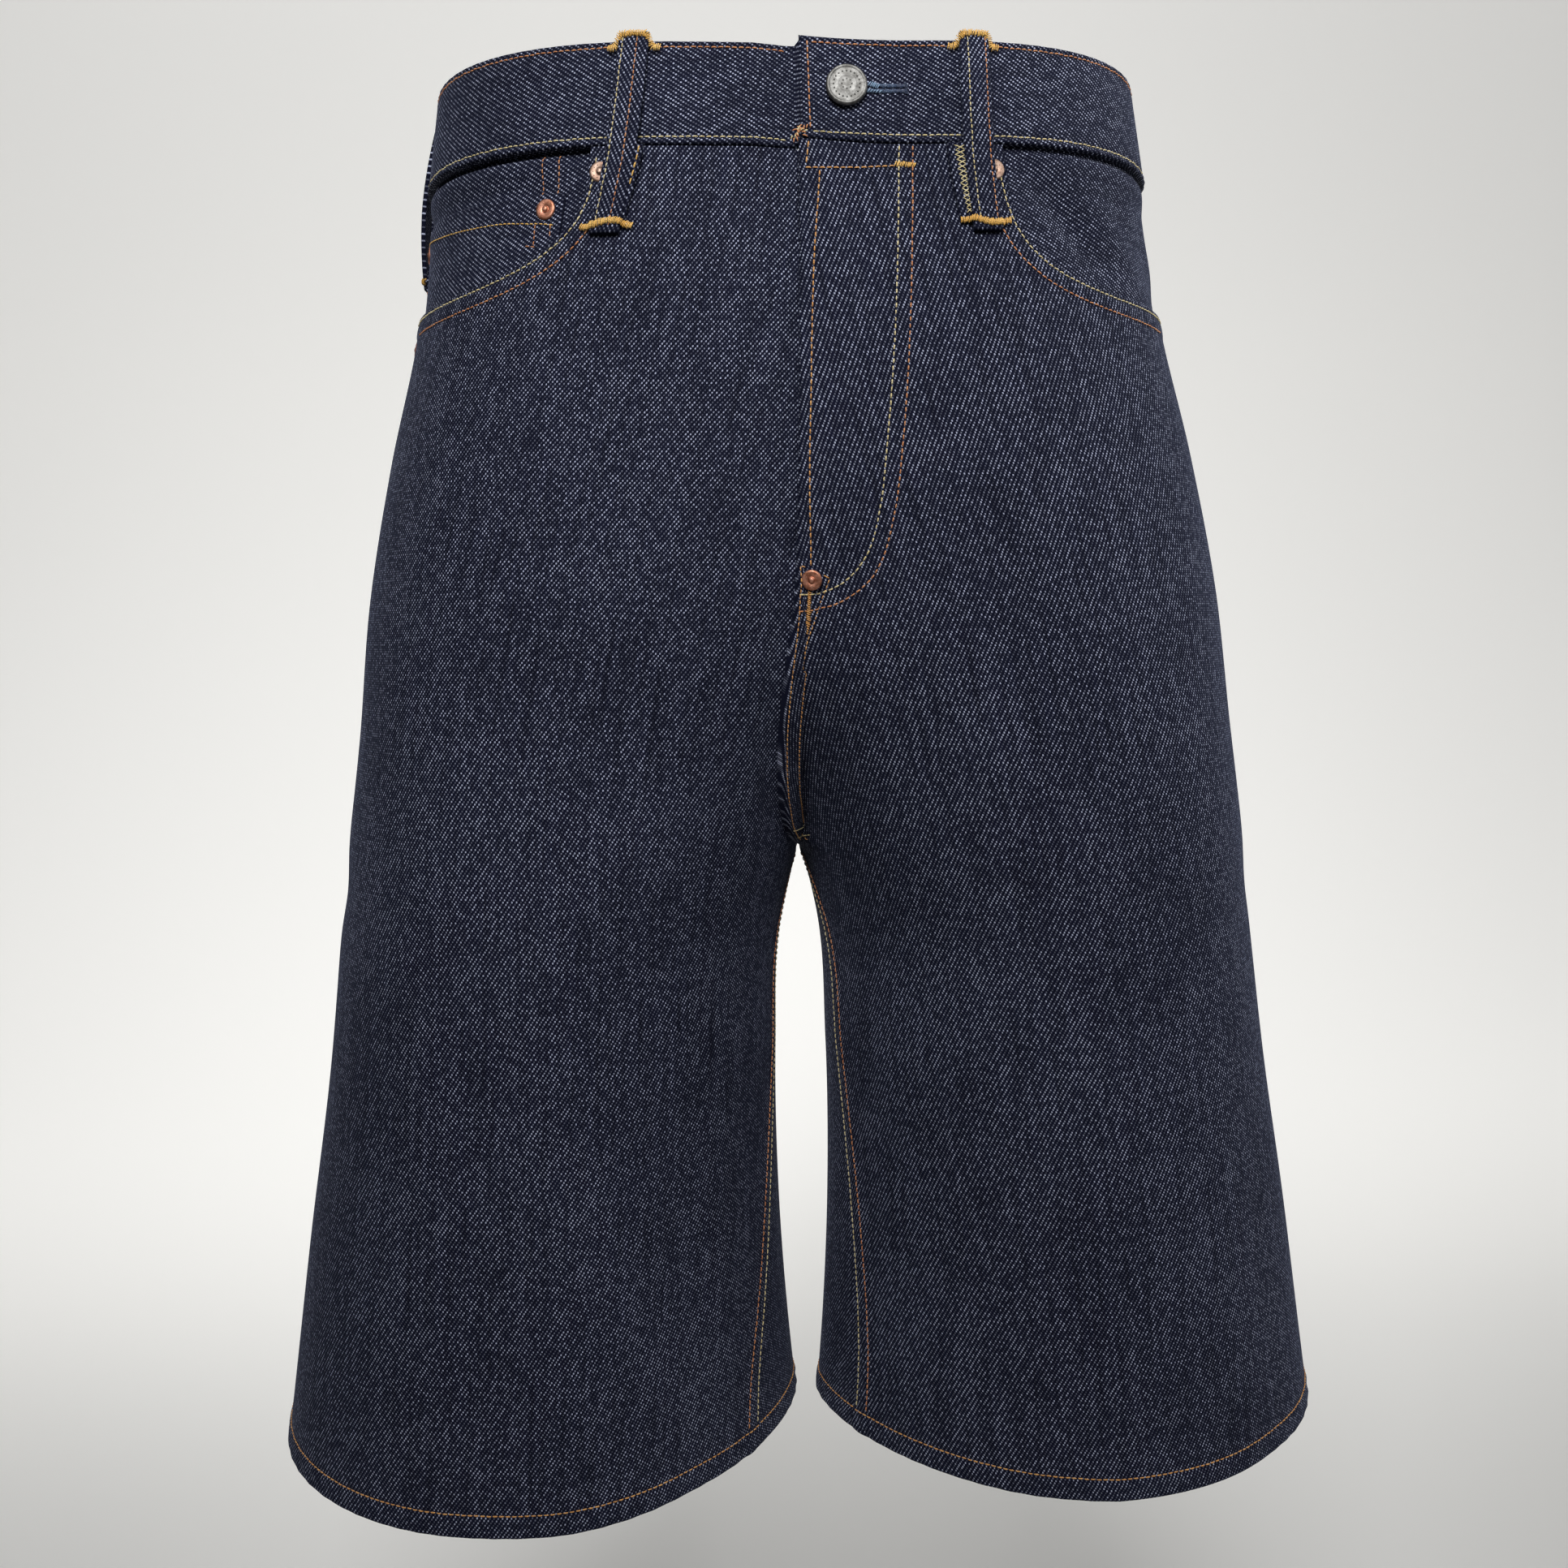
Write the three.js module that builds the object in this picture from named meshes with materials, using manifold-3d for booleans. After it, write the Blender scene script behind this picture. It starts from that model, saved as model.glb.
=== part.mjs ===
// Five-pocket denim shorts, worn and hollow, held at the waist.
// Millimetres, +Z up, front towards -Y, the wearer's left towards +X.
// The origin is the middle of the waistband's ring, half way between its front and back heights.
import * as THREE from "three";
import Module from "manifold-3d";

const wasm = await Module();
wasm.setup();

// Driving dimensions: heights are levels, measured down the cloth's own frame from the waistband's middle line.
const BAND_HEIGHT = 42;
const RISE = 297;
const INSIDE_LEG = 287;
const BAND_TOP = BAND_HEIGHT / 2;
const BAND_SEAM = -BAND_HEIGHT / 2;
const CROTCH = BAND_SEAM - RISE;
const HEM = CROTCH - INSIDE_LEG;

// Cloth and seams.
const CLOTH = 1.5;
const POCKET_CLOTH = 1.2;
const BAND_CLOTH = 2.6;
const BAND_PROUD = 0.8;
const GAP = 0.3;
const FELL_WIDTH = 9;
const FELL_RISE = 0.7;
const FELL_SLOPE = 1.2;
const HEM_FOLD = 11;
const HEM_CLOTH = 3.2;

// How the waist stands: the sides and the back are higher than the front.
const SIDE_LIFT = 6;
const BACK_LIFT = 22;
const FRONT_DROP = BACK_LIFT / 2;
// How the hem hangs: it is higher at the outseam and the inseam than below the thigh.
const HEM_OUTER_RISE = 8;
const HEM_INNER_RISE = 9;

// Places round a leg: 0 innermost, 1 foremost, 2 outermost, 3 rearmost, 4 innermost again.
const FRONT = 1;
const OUTER = 2;
const OUTSEAM = 1.97;

// Sections of one leg and its half of the hips, from the top edge of the waistband to the hem.
// side: half width; front, back: depths; peak: where the section is deepest; inner: its innermost line;
// inseam: the inseam's place forward of that line; round, innerRound: how square the corners are;
// twist: degrees that the section is turned, about the body's axis above and the leg's axis below.
const SECTION_COLUMNS = [
  "level", "side", "front", "back", "peak", "inner", "inseam", "round", "innerRound", "twist",
];
const SECTIONS = [
  [BAND_TOP, 158.5, 104, 104, 40, -300, 0, 2.2, 2.2, 2.4],
  [BAND_SEAM, 164.5, 110, 110, 42, -290, 0, 2.2, 2.2, 2.4],
  [-80, 171.5, 117, 126, 55, -260, 0, 2.2, 2.2, 2.4],
  [-140, 186.5, 118, 134, 70, -190, 0, 2.2, 2.2, 2.4],
  [-200, 198.5, 117, 130, 88, -100, 0, 2.2, 2.2, 2.4],
  [-260, 205.5, 115, 120, 103, -32, 0, 2.2, 2.1, 2.4],
  [CROTCH, 214, 112, 110, 112, 0.4, 0, 2.15, 2, 1],
  [-350, 218, 110, 105, 117, 8.5, 0.08, 2.1, 1.9, 0],
  [-420, 226.5, 108, 101, 121, 12.5, 0.13, 2.1, 1.85, -1.5],
  [-500, 239, 107, 98, 125, 12, 0.21, 2.1, 1.8, -3],
  [-570, 249, 107, 97, 126, 8, 0.27, 2.1, 1.75, -3.5],
  [HEM, 254, 107, 97, 127, 5, 0.28, 2.1, 1.75, -3.5],
].map((row) => Object.fromEntries(SECTION_COLUMNS.map((name, k) => [name, row[k]])));
const LEG_AXIS_REACH = 60;

// Soft ridges (depth above 0) and troughs (below 0): side 1 is the wearer's left, place and spread are round the leg,
// length is half the fold's height, and lean is how far its place moves for each millimetre up.
const FOLDS = [
  { side: 1, level: -243, place: 0.62, spread: 0.07, length: 34, depth: 1.9, lean: 0.0022 },
  { side: 1, level: -262, place: 0.74, spread: 0.08, length: 46, depth: -1.6, lean: 0.0018 },
  { side: 1, level: -52, place: 1.34, spread: 0.05, length: 17, depth: -1.8, lean: -0.004 },
  { side: 1, level: -50, place: 1.5, spread: 0.08, length: 24, depth: 1.5, lean: -0.004 },
  { side: 1, level: -60, place: 1.9, spread: 0.16, length: 13, depth: 1.6, lean: 0 },
  { side: 1, level: -470, place: 0.86, spread: 0.09, length: 120, depth: -2.2, lean: 0 },
  { side: 1, level: -520, place: 1.46, spread: 0.12, length: 110, depth: -2, lean: 0.0003 },
  { side: 1, level: -335, place: 1.93, spread: 0.2, length: 15, depth: -1.7, lean: 0 },
  { side: 1, level: -228, place: 3.3, spread: 0.12, length: 40, depth: -2.6, lean: -0.003 },
  { side: 1, level: -275, place: 3.45, spread: 0.1, length: 36, depth: -2.4, lean: -0.004 },
  { side: 1, level: -455, place: 3.05, spread: 0.13, length: 110, depth: -2.4, lean: 0 },
  { side: -1, level: -250, place: 0.6, spread: 0.08, length: 40, depth: 1.5, lean: 0.002 },
  { side: -1, level: -190, place: 1.25, spread: 0.14, length: 90, depth: 1.4, lean: 0 },
  { side: -1, level: -455, place: 1.12, spread: 0.1, length: 130, depth: -2, lean: -0.0002 },
  { side: -1, level: -520, place: 0.62, spread: 0.09, length: 90, depth: -2, lean: 0 },
  { side: -1, level: -330, place: 1.93, spread: 0.2, length: 15, depth: -1.7, lean: 0 },
  { side: -1, level: -240, place: 3.25, spread: 0.12, length: 38, depth: -2.4, lean: -0.003 },
  { side: -1, level: -290, place: 3.5, spread: 0.1, length: 34, depth: -2.6, lean: -0.004 },
  { side: -1, level: -430, place: 2.85, spread: 0.12, length: 120, depth: -2.2, lean: 0.0002 },
];

// The folds die out this near to the centre seam, where both halves meet.
const CENTRE_CLEAR = 30;

// Fly: the left front laps over the right one from the waistband down to the fly's foot.
const FLY_FOOT = -196;
const FLY_WIDTH = 45;
const FLY_DIP_REACH = 16;
const SHIELD_REACH = 38;
const SHIELD_UNDER = 13;
const FLY_CURVE = 42;
const FLY_FADE = 14;
// The flap's corner stands a little above the other end of the waistband.
const FLAP_RISE = 3;
const FLAP_RISE_REACH = 55;
const FLAP_RISE_FOOT = -80;
const FLAP_RISE_DEPTH = 60;

// Front pockets: the mouth is a squared quarter ellipse from the waistband to the outseam.
const MOUTH_PLACE = 1.19;
const MOUTH_DEPTH = 58;
const MOUTH_POWER = 3.6;
const FACING_HIDDEN = 20;
const FACING_HIDDEN_PLACE = 0.12;
const COIN_TOP = -38;
const COIN_INNER_PLACE = 1.245;
const COIN_HIDDEN = 10;

// Yoke and back pockets: the pocket's columns are counted on the back panel's own columns.
const YOKE_SIDE = -58;
const YOKE_CENTRE = -90;
const PATCH = {
  top: -106,
  slope: 9,
  height: 146,
  point: 12,
  outer: 4.6,
  inner: 11.45,
  taper: 0.38,
  hem: 18,
  hemRise: 0.6,
};

// Belt loops: where each one's top and foot stand round the waist.
const LOOP_WIDTH = 12;
const LOOP_CLOTH = 2.2;
const LOOP_OVER = 1.2;
const LOOP_FOOT = -57;
const LOOPS = [
  { name: "belt_loop_front_left", side: 1, top: 1.152, foot: 1.124, bow: 2.6 },
  { name: "belt_loop_front_right", side: -1, top: 1.112, foot: 1.136, bow: 2.6 },
  { name: "belt_loop_side_left", side: 1, top: 2.08, foot: 2.07, bow: 3.8 },
  { name: "belt_loop_side_right", side: -1, top: 2.05, foot: 2.03, bow: 3.8 },
];
const BACK_LOOP_BOW = 2.8;

// Metal trims: the button's face, rim and shank, and the copper rivets with their nubs.
const BUTTON = { across: 16.8, x: 20, level: 0.7, thick: 3.2, stand: 0.6, shank: 2 };
const BUTTONHOLE = { eye: 2.7, slot: 1.4, end: 44, steps: 10 };
const RIVET = { across: 8.6, thick: 1, nub: 1.5, nubHigh: 1.3 };
const RIVETS = [
  { name: "rivet_fly_foot", side: 1, level: -194, x: 3.4, lift: FELL_RISE },
  { name: "rivet_pocket_top_left", side: 1, level: -31.5, place: MOUTH_PLACE - 0.022, lift: 0 },
  { name: "rivet_pocket_top_right", side: -1, level: -31.5, place: MOUTH_PLACE - 0.022, lift: 0 },
  { name: "rivet_pocket_side_left", side: 1, level: -86.5, place: OUTSEAM - 0.045, lift: 0 },
  { name: "rivet_pocket_side_right", side: -1, level: -86.5, place: OUTSEAM - 0.045, lift: 0 },
  { name: "rivet_coin_inner", side: -1, level: -44.5, place: 1.287, lift: -(CLOTH + GAP) },
  { name: "rivet_coin_outer", side: -1, level: -44.5, place: OUTSEAM - 0.045, lift: -(CLOTH + GAP) },
];

const DENIM = { color: 0x1f2738, roughness: 0.92, metalness: 0 };
const COPPER = { color: 0xb4714f, roughness: 0.38, metalness: 1 };
const SILVER = { color: 0xb9b7b2, roughness: 0.35, metalness: 1 };

const clamp = (value, low, high) => Math.min(high, Math.max(low, value));
const mix = (a, b, share) => a + (b - a) * share;
const ease = (share) => share * share * (3 - 2 * share);

// A column of the section table at a level: a cubic through the rows, with slopes taken from their neighbours.
function section(level, column) {
  const rows = SECTIONS;
  const last = rows.length - 1;
  const at = clamp(level, rows[last].level, rows[0].level);
  let i = 0;
  while (i < last - 1 && at < rows[i + 1].level) i += 1;
  const slopeAt = (k) => {
    if (k === 0) return (rows[1][column] - rows[0][column]) / (rows[0].level - rows[1].level);
    if (k === last) return (rows[last][column] - rows[last - 1][column]) / (rows[last - 1].level - rows[last].level);
    const above = rows[k - 1].level - rows[k].level;
    const below = rows[k].level - rows[k + 1].level;
    const up = (rows[k][column] - rows[k - 1][column]) / above;
    const down = (rows[k + 1][column] - rows[k][column]) / below;
    return (up * below + down * above) / (above + below);
  };
  const step = rows[i].level - rows[i + 1].level;
  const s = (rows[i].level - at) / step;
  return (
    (2 * s ** 3 - 3 * s ** 2 + 1) * rows[i][column] +
    (s ** 3 - 2 * s ** 2 + s) * step * slopeAt(i) +
    (3 * s ** 2 - 2 * s ** 3) * rows[i + 1][column] +
    (s ** 3 - s ** 2) * step * slopeAt(i + 1)
  );
}

// The place round the leg where a section meets a given distance from the centre plane, on the front.
function placeAt(level, x) {
  const peak = section(level, "peak");
  if (x <= peak) {
    const share = clamp((peak - x) / (peak - section(level, "inner")), 0, 1);
    return FRONT - (2 / Math.PI) * Math.asin(share ** (section(level, "innerRound") / 2));
  }
  const share = clamp((x - peak) / (section(level, "side") - peak), 0, 1);
  return FRONT + (2 / Math.PI) * Math.asin(share ** (section(level, "round") / 2));
}

// Height of the folds at a place on the cloth: none at the centre seam, where both halves meet.
function foldHeight(side, level, place) {
  const smooth = smoothPoint(side, level, place);
  const clear = level > CROTCH ? clamp(Math.abs(smooth.x) / CENTRE_CLEAR, 0, 1) : 1;
  let height = 0;
  for (const fold of FOLDS) {
    if (fold.side !== side) continue;
    const down = level - fold.level;
    const across = (place - fold.place - fold.lean * down) / fold.spread;
    height += fold.depth * Math.exp(-across * across - (down / fold.length) ** 2);
  }
  return height * clear;
}

// The cloth's outer face without its folds.
function smoothPoint(side, level, place) {
  const turn = ((place % 4) + 4) % 4;
  const quarter = Math.floor(turn);
  const share = turn - quarter;
  const angle = ((quarter % 2 === 0 ? 1 - share : share) * Math.PI) / 2;
  const peak = section(level, "peak");
  const medial = quarter === 0 || quarter === 3;
  const round = section(level, medial ? "innerRound" : "round");
  const reach = medial ? section(level, "inner") - peak : section(level, "side") - peak;
  const ahead = quarter < 2;
  const depth = section(level, ahead ? "front" : "back");
  const x = peak + reach * Math.sin(angle) ** (2 / round);
  const y = (ahead ? -1 : 1) * depth * Math.max(0, Math.cos(angle)) ** (2 / round);

  const waistShare = clamp((level - CROTCH) / (BAND_TOP - CROTCH), 0, 1) ** 1.5;
  const behind = Math.atan2(Math.abs(x), -y) / Math.PI;
  const sideLift = SIDE_LIFT * Math.sin(clamp(behind, 0, 0.5) * Math.PI) ** 3;
  const backLift = (BACK_LIFT - SIDE_LIFT) * clamp(2 * behind - 1, 0, 1) ** 1.3;
  const flapShare = side > 0 && ahead ? clamp(1 - x / FLAP_RISE_REACH, 0, 1) ** 2 : 0;
  const flapLift = FLAP_RISE * flapShare * clamp((level - FLAP_RISE_FOOT) / FLAP_RISE_DEPTH, 0, 1);
  const legShare = clamp((CROTCH - level) / INSIDE_LEG, 0, 1);
  const nearOuter = Math.cos((clamp(Math.abs(turn - OUTER), 0, 1) * Math.PI) / 2) ** 2;
  const nearInner = Math.cos((clamp(Math.min(turn, 4 - turn), 0, 1) * Math.PI) / 2) ** 2;
  const hemLift = legShare * (HEM_OUTER_RISE * nearOuter + HEM_INNER_RISE * nearInner);
  const z = level - FRONT_DROP + (sideLift + backLift) * waistShare + flapLift + hemLift;

  const twist = THREE.MathUtils.degToRad(section(level, "twist"));
  const pivot = side * peak * clamp((CROTCH - level) / LEG_AXIS_REACH, 0, 1);
  const arm = side * x - pivot;
  return new THREE.Vector3(
    pivot + arm * Math.cos(twist) + y * Math.sin(twist),
    y * Math.cos(twist) - arm * Math.sin(twist),
    z,
  );
}

// Outward direction of the smooth cloth.
function outward(side, level, place) {
  const turnStep = 0.004;
  const levelStep = 0.5;
  const round = smoothPoint(side, level, place + turnStep).sub(smoothPoint(side, level, place - turnStep));
  const up = smoothPoint(side, Math.min(BAND_TOP, level + levelStep), place);
  up.sub(smoothPoint(side, Math.max(HEM, level - levelStep), place));
  return round.cross(up).multiplyScalar(side).normalize();
}

// A point of the cloth's outer face, moved out by a number of millimetres.
function clothPoint(side, level, place, out = 0) {
  const direction = outward(side, level, place);
  const height = foldHeight(side, level, place) + out;
  return smoothPoint(side, level, place).addScaledVector(direction, height);
}

// A closed wall between an outer and an inner grid of points, rows[i][j], wound so that its faces point out.
function wall(outerRows, innerRows) {
  const height = outerRows.length;
  const width = outerRows[0].length;
  const positions = [];
  for (const rows of [outerRows, innerRows])
    for (const row of rows) for (const point of row) positions.push(point.x, point.y, point.z);
  const inner = height * width;
  const at = (i, j) => i * width + j;
  const index = [];
  const quad = (a, b, c, d) => index.push(a, b, c, a, c, d);
  for (let i = 0; i < height - 1; i += 1)
    for (let j = 0; j < width - 1; j += 1) {
      quad(at(i, j), at(i + 1, j), at(i + 1, j + 1), at(i, j + 1));
      quad(inner + at(i, j), inner + at(i, j + 1), inner + at(i + 1, j + 1), inner + at(i + 1, j));
    }
  for (let i = 0; i < height - 1; i += 1) {
    quad(at(i, 0), inner + at(i, 0), inner + at(i + 1, 0), at(i + 1, 0));
    quad(at(i, width - 1), at(i + 1, width - 1), inner + at(i + 1, width - 1), inner + at(i, width - 1));
  }
  for (let j = 0; j < width - 1; j += 1) {
    quad(at(0, j), at(0, j + 1), inner + at(0, j + 1), inner + at(0, j));
    quad(at(height - 1, j), inner + at(height - 1, j), inner + at(height - 1, j + 1), at(height - 1, j + 1));
  }
  const geometry = new THREE.BufferGeometry();
  geometry.setAttribute("position", new THREE.Float32BufferAttribute(positions, 3));
  geometry.setIndex(index);
  return facingOut(geometry);
}

// The same solid with its faces turned outwards, whichever way round its grid runs.
function facingOut(geometry) {
  const p = geometry.getAttribute("position");
  const corner = (k) => new THREE.Vector3().fromBufferAttribute(p, geometry.index.getX(k));
  let volume = 0;
  for (let k = 0; k < geometry.index.count; k += 3)
    volume += corner(k).dot(corner(k + 1).cross(corner(k + 2)));
  if (volume > 0) return geometry;
  const turned = Array.from(geometry.index.array);
  for (let k = 0; k < turned.length; k += 3) [turned[k + 1], turned[k + 2]] = [turned[k + 2], turned[k + 1]];
  geometry.setIndex(turned);
  return geometry;
}

// A wall over a table of places: cell(i, j) gives { level, place, out, cloth } for its outer face.
function clothWall(side, height, width, cell) {
  const outerRows = [];
  const innerRows = [];
  for (let i = 0; i < height; i += 1) {
    const outerRow = [];
    const innerRow = [];
    for (let j = 0; j < width; j += 1) {
      const { level, place, out = 0, cloth = CLOTH } = cell(i, j);
      outerRow.push(clothPoint(side, level, place, out));
      innerRow.push(clothPoint(side, level, place, Math.min(out, 0) - cloth));
    }
    outerRows.push(outerRow);
    innerRows.push(innerRow);
  }
  return wall(outerRows, innerRows);
}

const shorts = new THREE.Group();
function add(name, geometry, finish) {
  const mesh = new THREE.Mesh(geometry, new THREE.MeshStandardMaterial(finish));
  mesh.name = name;
  shorts.add(mesh);
  return mesh;
}

// Half a gap between pieces that meet at a seam, in millimetres and in places round the leg.
const SEAM_HALF = GAP / 2 + 0.02;
const SEAM_HALF_PLACE = 0.0024;

// Where a front panel starts: the centre plane above the crotch, the inseam below it.
const frontStart = (level) =>
  level > CROTCH ? placeAt(level, SEAM_HALF) : section(level, "inseam") + SEAM_HALF_PLACE;
// Where a back panel ends: the same two lines, seen from behind.
const backEnd = (level) =>
  level > CROTCH ? 4 - placeAt(level, SEAM_HALF) : 4 + section(level, "inseam") - SEAM_HALF_PLACE;

// Level of the pocket mouth at a place.
function mouthLevel(place) {
  if (place <= MOUTH_PLACE) return BAND_SEAM;
  const share = clamp((OUTER - place) / (OUTER - MOUTH_PLACE), 0, 1);
  return BAND_SEAM - MOUTH_DEPTH * (1 - share ** MOUTH_POWER) ** (1 / MOUTH_POWER);
}

// Level of the yoke's seam at a place: lower at the centre back than at the outseam.
function yokeLevel(place) {
  const centreBack = 4 - placeAt(YOKE_CENTRE, 0);
  return mix(YOKE_SIDE, YOKE_CENTRE, clamp((place - OUTSEAM) / (centreBack - OUTSEAM), 0, 1));
}

const PANEL_TOP = BAND_SEAM - GAP;

// A panel's columns are shares of the way from its start to its end, the same at every level.
// Those of the front follow the fell, then the pocket mouth's curve; those of the back end in the fell.
const FELL_STEPS = [0, FELL_SLOPE, FELL_WIDTH - 0.8, FELL_WIDTH + 0.4];
const BESIDE_FLY = [17, 31];
const MOUTH_STEPS = 7;
const MOUTH_ANGLE = 66;
const BESIDE_MOUTH = [1.64, 1.73, 1.81, 1.89];
function frontCut() {
  const start = frontStart(PANEL_TOP);
  const end = OUTSEAM - SEAM_HALF_PLACE;
  const places = FELL_STEPS.concat(BESIDE_FLY).map((x) => (x === 0 ? start : placeAt(PANEL_TOP, x)));
  places.push(MOUTH_PLACE - FACING_HIDDEN_PLACE, MOUTH_PLACE - FACING_HIDDEN_PLACE / 2);
  for (let k = 0; k <= MOUTH_STEPS; k += 1) {
    const angle = THREE.MathUtils.degToRad((k / MOUTH_STEPS) * MOUTH_ANGLE);
    places.push(OUTER - (OUTER - MOUTH_PLACE) * Math.cos(angle) ** (2 / MOUTH_POWER));
  }
  places.push(...BESIDE_MOUTH, end);
  const shares = places.map((place) => (place - start) / (end - start));
  const top = (place) => Math.min(PANEL_TOP, mouthLevel(place));
  return { start: frontStart, end: () => end, top, shares };
}

const BACK_COLUMNS = 12;
function backCut() {
  const start = OUTSEAM + SEAM_HALF_PLACE;
  const end = backEnd(PANEL_TOP);
  const shareAt = (x) => (4 - placeAt(PANEL_TOP, x) - start) / (end - start);
  const fell = FELL_STEPS.slice(1).map(shareAt).reverse();
  const shares = [];
  for (let k = 0; k < BACK_COLUMNS; k += 1) shares.push((k / BACK_COLUMNS) * fell[0]);
  const top = (place) => yokeLevel(place) - GAP;
  return { start: () => start, end: backEnd, top, shares: [...shares, ...fell, 1] };
}

const FRONT_CUT = frontCut();
const BACK_CUT = backCut();
const FRONT_MOUTH_COLUMN = FELL_STEPS.length + BESIDE_FLY.length + 2;
const FRONT_FACING_COLUMN = FRONT_MOUTH_COLUMN - 2;

const placeIn = (cut, column, level) => mix(cut.start(level), cut.end(level), cut.shares[column]);

// A panel's top follows a line that is given by places, and the places depend a little on the level.
const SETTLE_STEPS = 5;

// The levels of a panel's rows down one column: those above the hold row are spaced from its top edge.
function columnLevels(cut, column) {
  let top = PANEL_TOP;
  for (let k = 0; k < SETTLE_STEPS; k += 1) top = cut.top(placeIn(cut, column, top));
  return LEVELS.map((level, i) => (i < HOLD_ROW ? mix(top, LEVELS[HOLD_ROW], i / HOLD_ROW) : level));
}

// A point of a panel's own facets, at any column and level, moved out.
function layOn(cut, side, column, level, out) {
  const onColumn = (whole) => {
    const levels = columnLevels(cut, whole);
    if (level > levels[0]) return clothPoint(side, level, placeIn(cut, whole, level), out);
    let i = 0;
    while (i < levels.length - 2 && levels[i + 1] > level) i += 1;
    const above = clothPoint(side, levels[i], placeIn(cut, whole, levels[i]), out);
    const below = clothPoint(side, levels[i + 1], placeIn(cut, whole, levels[i + 1]), out);
    return above.lerp(below, (levels[i] - level) / (levels[i] - levels[i + 1]));
  };
  const low = clamp(Math.floor(column), 0, cut.shares.length - 2);
  return onColumn(low).lerp(onColumn(low + 1), column - low);
}

// The column of a cut that meets a place at a level.
function columnAt(cut, level, place) {
  const share = (place - cut.start(level)) / (cut.end(level) - cut.start(level));
  let low = 0;
  while (low < cut.shares.length - 2 && cut.shares[low + 1] < share) low += 1;
  return low + (share - cut.shares[low]) / (cut.shares[low + 1] - cut.shares[low]);
}

// Rows of levels from the top to the hem, closer together near the crotch, with the hem's fold as the last ones.
const RISE_ROWS = 12;
const LEG_ROWS = 6;
const HOLD_ROW = 4;
const RISE_SPACING = 1.45;
const LEG_SPACING = 1.15;
const HEM_STEP = 0.4;
function panelLevels() {
  const levels = [];
  for (let i = 0; i <= RISE_ROWS; i += 1) levels.push(mix(CROTCH, PANEL_TOP, (1 - i / RISE_ROWS) ** RISE_SPACING));
  for (let i = 1; i <= LEG_ROWS; i += 1) levels.push(mix(CROTCH, HEM + HEM_FOLD, (i / LEG_ROWS) ** LEG_SPACING));
  levels.push(HEM + HEM_FOLD - HEM_STEP, HEM);
  return levels;
}
const LEVELS = panelLevels();

// A panel hung from a seam or a mouth.
function panel(side, cut, raise) {
  const columns = cut.shares.map((_, j) => columnLevels(cut, j));
  return clothWall(side, LEVELS.length, columns.length, (i, j) => {
    const level = columns[j][i];
    const cloth = level < HEM + HEM_FOLD - GAP ? HEM_CLOTH : CLOTH;
    return { level, place: placeIn(cut, j, level), out: level > CROTCH ? raise(level, j) : 0, cloth };
  });
}

// The right front dips under the left one's fly edge; the left one has the raised fell below the fly's foot.
const flyShare = (level) => ease(clamp((level - FLY_FOOT) / FLY_FADE, 0, 1));
const flyDip = (level, j) => {
  const x = FELL_STEPS.concat(BESIDE_FLY)[j] ?? FLY_DIP_REACH;
  return -(CLOTH + GAP) * flyShare(level) * ease(clamp(1 - x / FLY_DIP_REACH, 0, 1));
};
const frontFell = (level, j) => (j === 1 || j === 2 ? FELL_RISE * (1 - flyShare(level)) : 0);
const backFell = (level, j) => (j === BACK_COLUMNS + 1 || j === BACK_COLUMNS + 2 ? FELL_RISE : 0);
const flat = () => 0;

const frontPanel = (side) => panel(side, FRONT_CUT, side > 0 ? frontFell : flyDip);
const backPanel = (side) => panel(side, BACK_CUT, side > 0 ? backFell : flat);

// Yoke between the waistband and the back panel, with the fell raised along its foot.
function yoke(side) {
  return clothWall(side, 4, BACK_CUT.shares.length, (i, j) => {
    let foot = YOKE_CENTRE;
    for (let k = 0; k < SETTLE_STEPS; k += 1) foot = yokeLevel(placeIn(BACK_CUT, j, foot));
    const level = [PANEL_TOP, foot + FELL_WIDTH + FELL_SLOPE, foot + FELL_WIDTH, foot][i];
    return { level, place: placeIn(BACK_CUT, j, level), out: i >= 2 ? FELL_RISE : 0 };
  });
}

// Waistband: one strip from the flap's end at the front, round by the left, the back and the right,
// to the end that lies under the flap.
const BAND_STEPS = 26;
const FLAP_EDGE = 0.6;
const UNDER_STEPS = [18, 8, 0.4, -12, -26, -42];
const BESIDE_UNDER = 8;
function waistband() {
  const columns = [];
  for (let k = 0; k <= BAND_STEPS; k += 1) columns.push({ side: 1, share: k / BAND_STEPS });
  for (let k = BAND_STEPS - 1; k >= 1; k -= 1) columns.push({ side: -1, share: k / BAND_STEPS });
  for (const x of UNDER_STEPS) columns.push({ side: x >= 0 ? -1 : 1, x: Math.abs(x), under: x });
  const levels = [BAND_TOP, 0, BAND_SEAM];
  const outerRows = [];
  const innerRows = [];
  for (const level of levels) {
    const outerRow = [];
    const innerRow = [];
    for (const column of columns) {
      const onRing = column.x === undefined;
      const from = placeAt(level, column.side > 0 ? FLAP_EDGE : UNDER_STEPS[0] + BESIDE_UNDER);
      const place = onRing ? mix(from, 4 - placeAt(level, 0), column.share) : placeAt(level, column.x);
      const dip = onRing ? 0 : ease(clamp(1 - (column.under - UNDER_STEPS[2]) / (UNDER_STEPS[0] + 2), 0, 1));
      const out = BAND_PROUD - dip * (BAND_CLOTH + GAP + 0.1);
      outerRow.push(clothPoint(column.side, level, place, out));
      innerRow.push(clothPoint(column.side, level, place, out - BAND_CLOTH));
    }
    outerRows.push(outerRow);
    innerRows.push(innerRow);
  }
  return cutButtonhole(wall(outerRows, innerRows));
}

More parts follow.
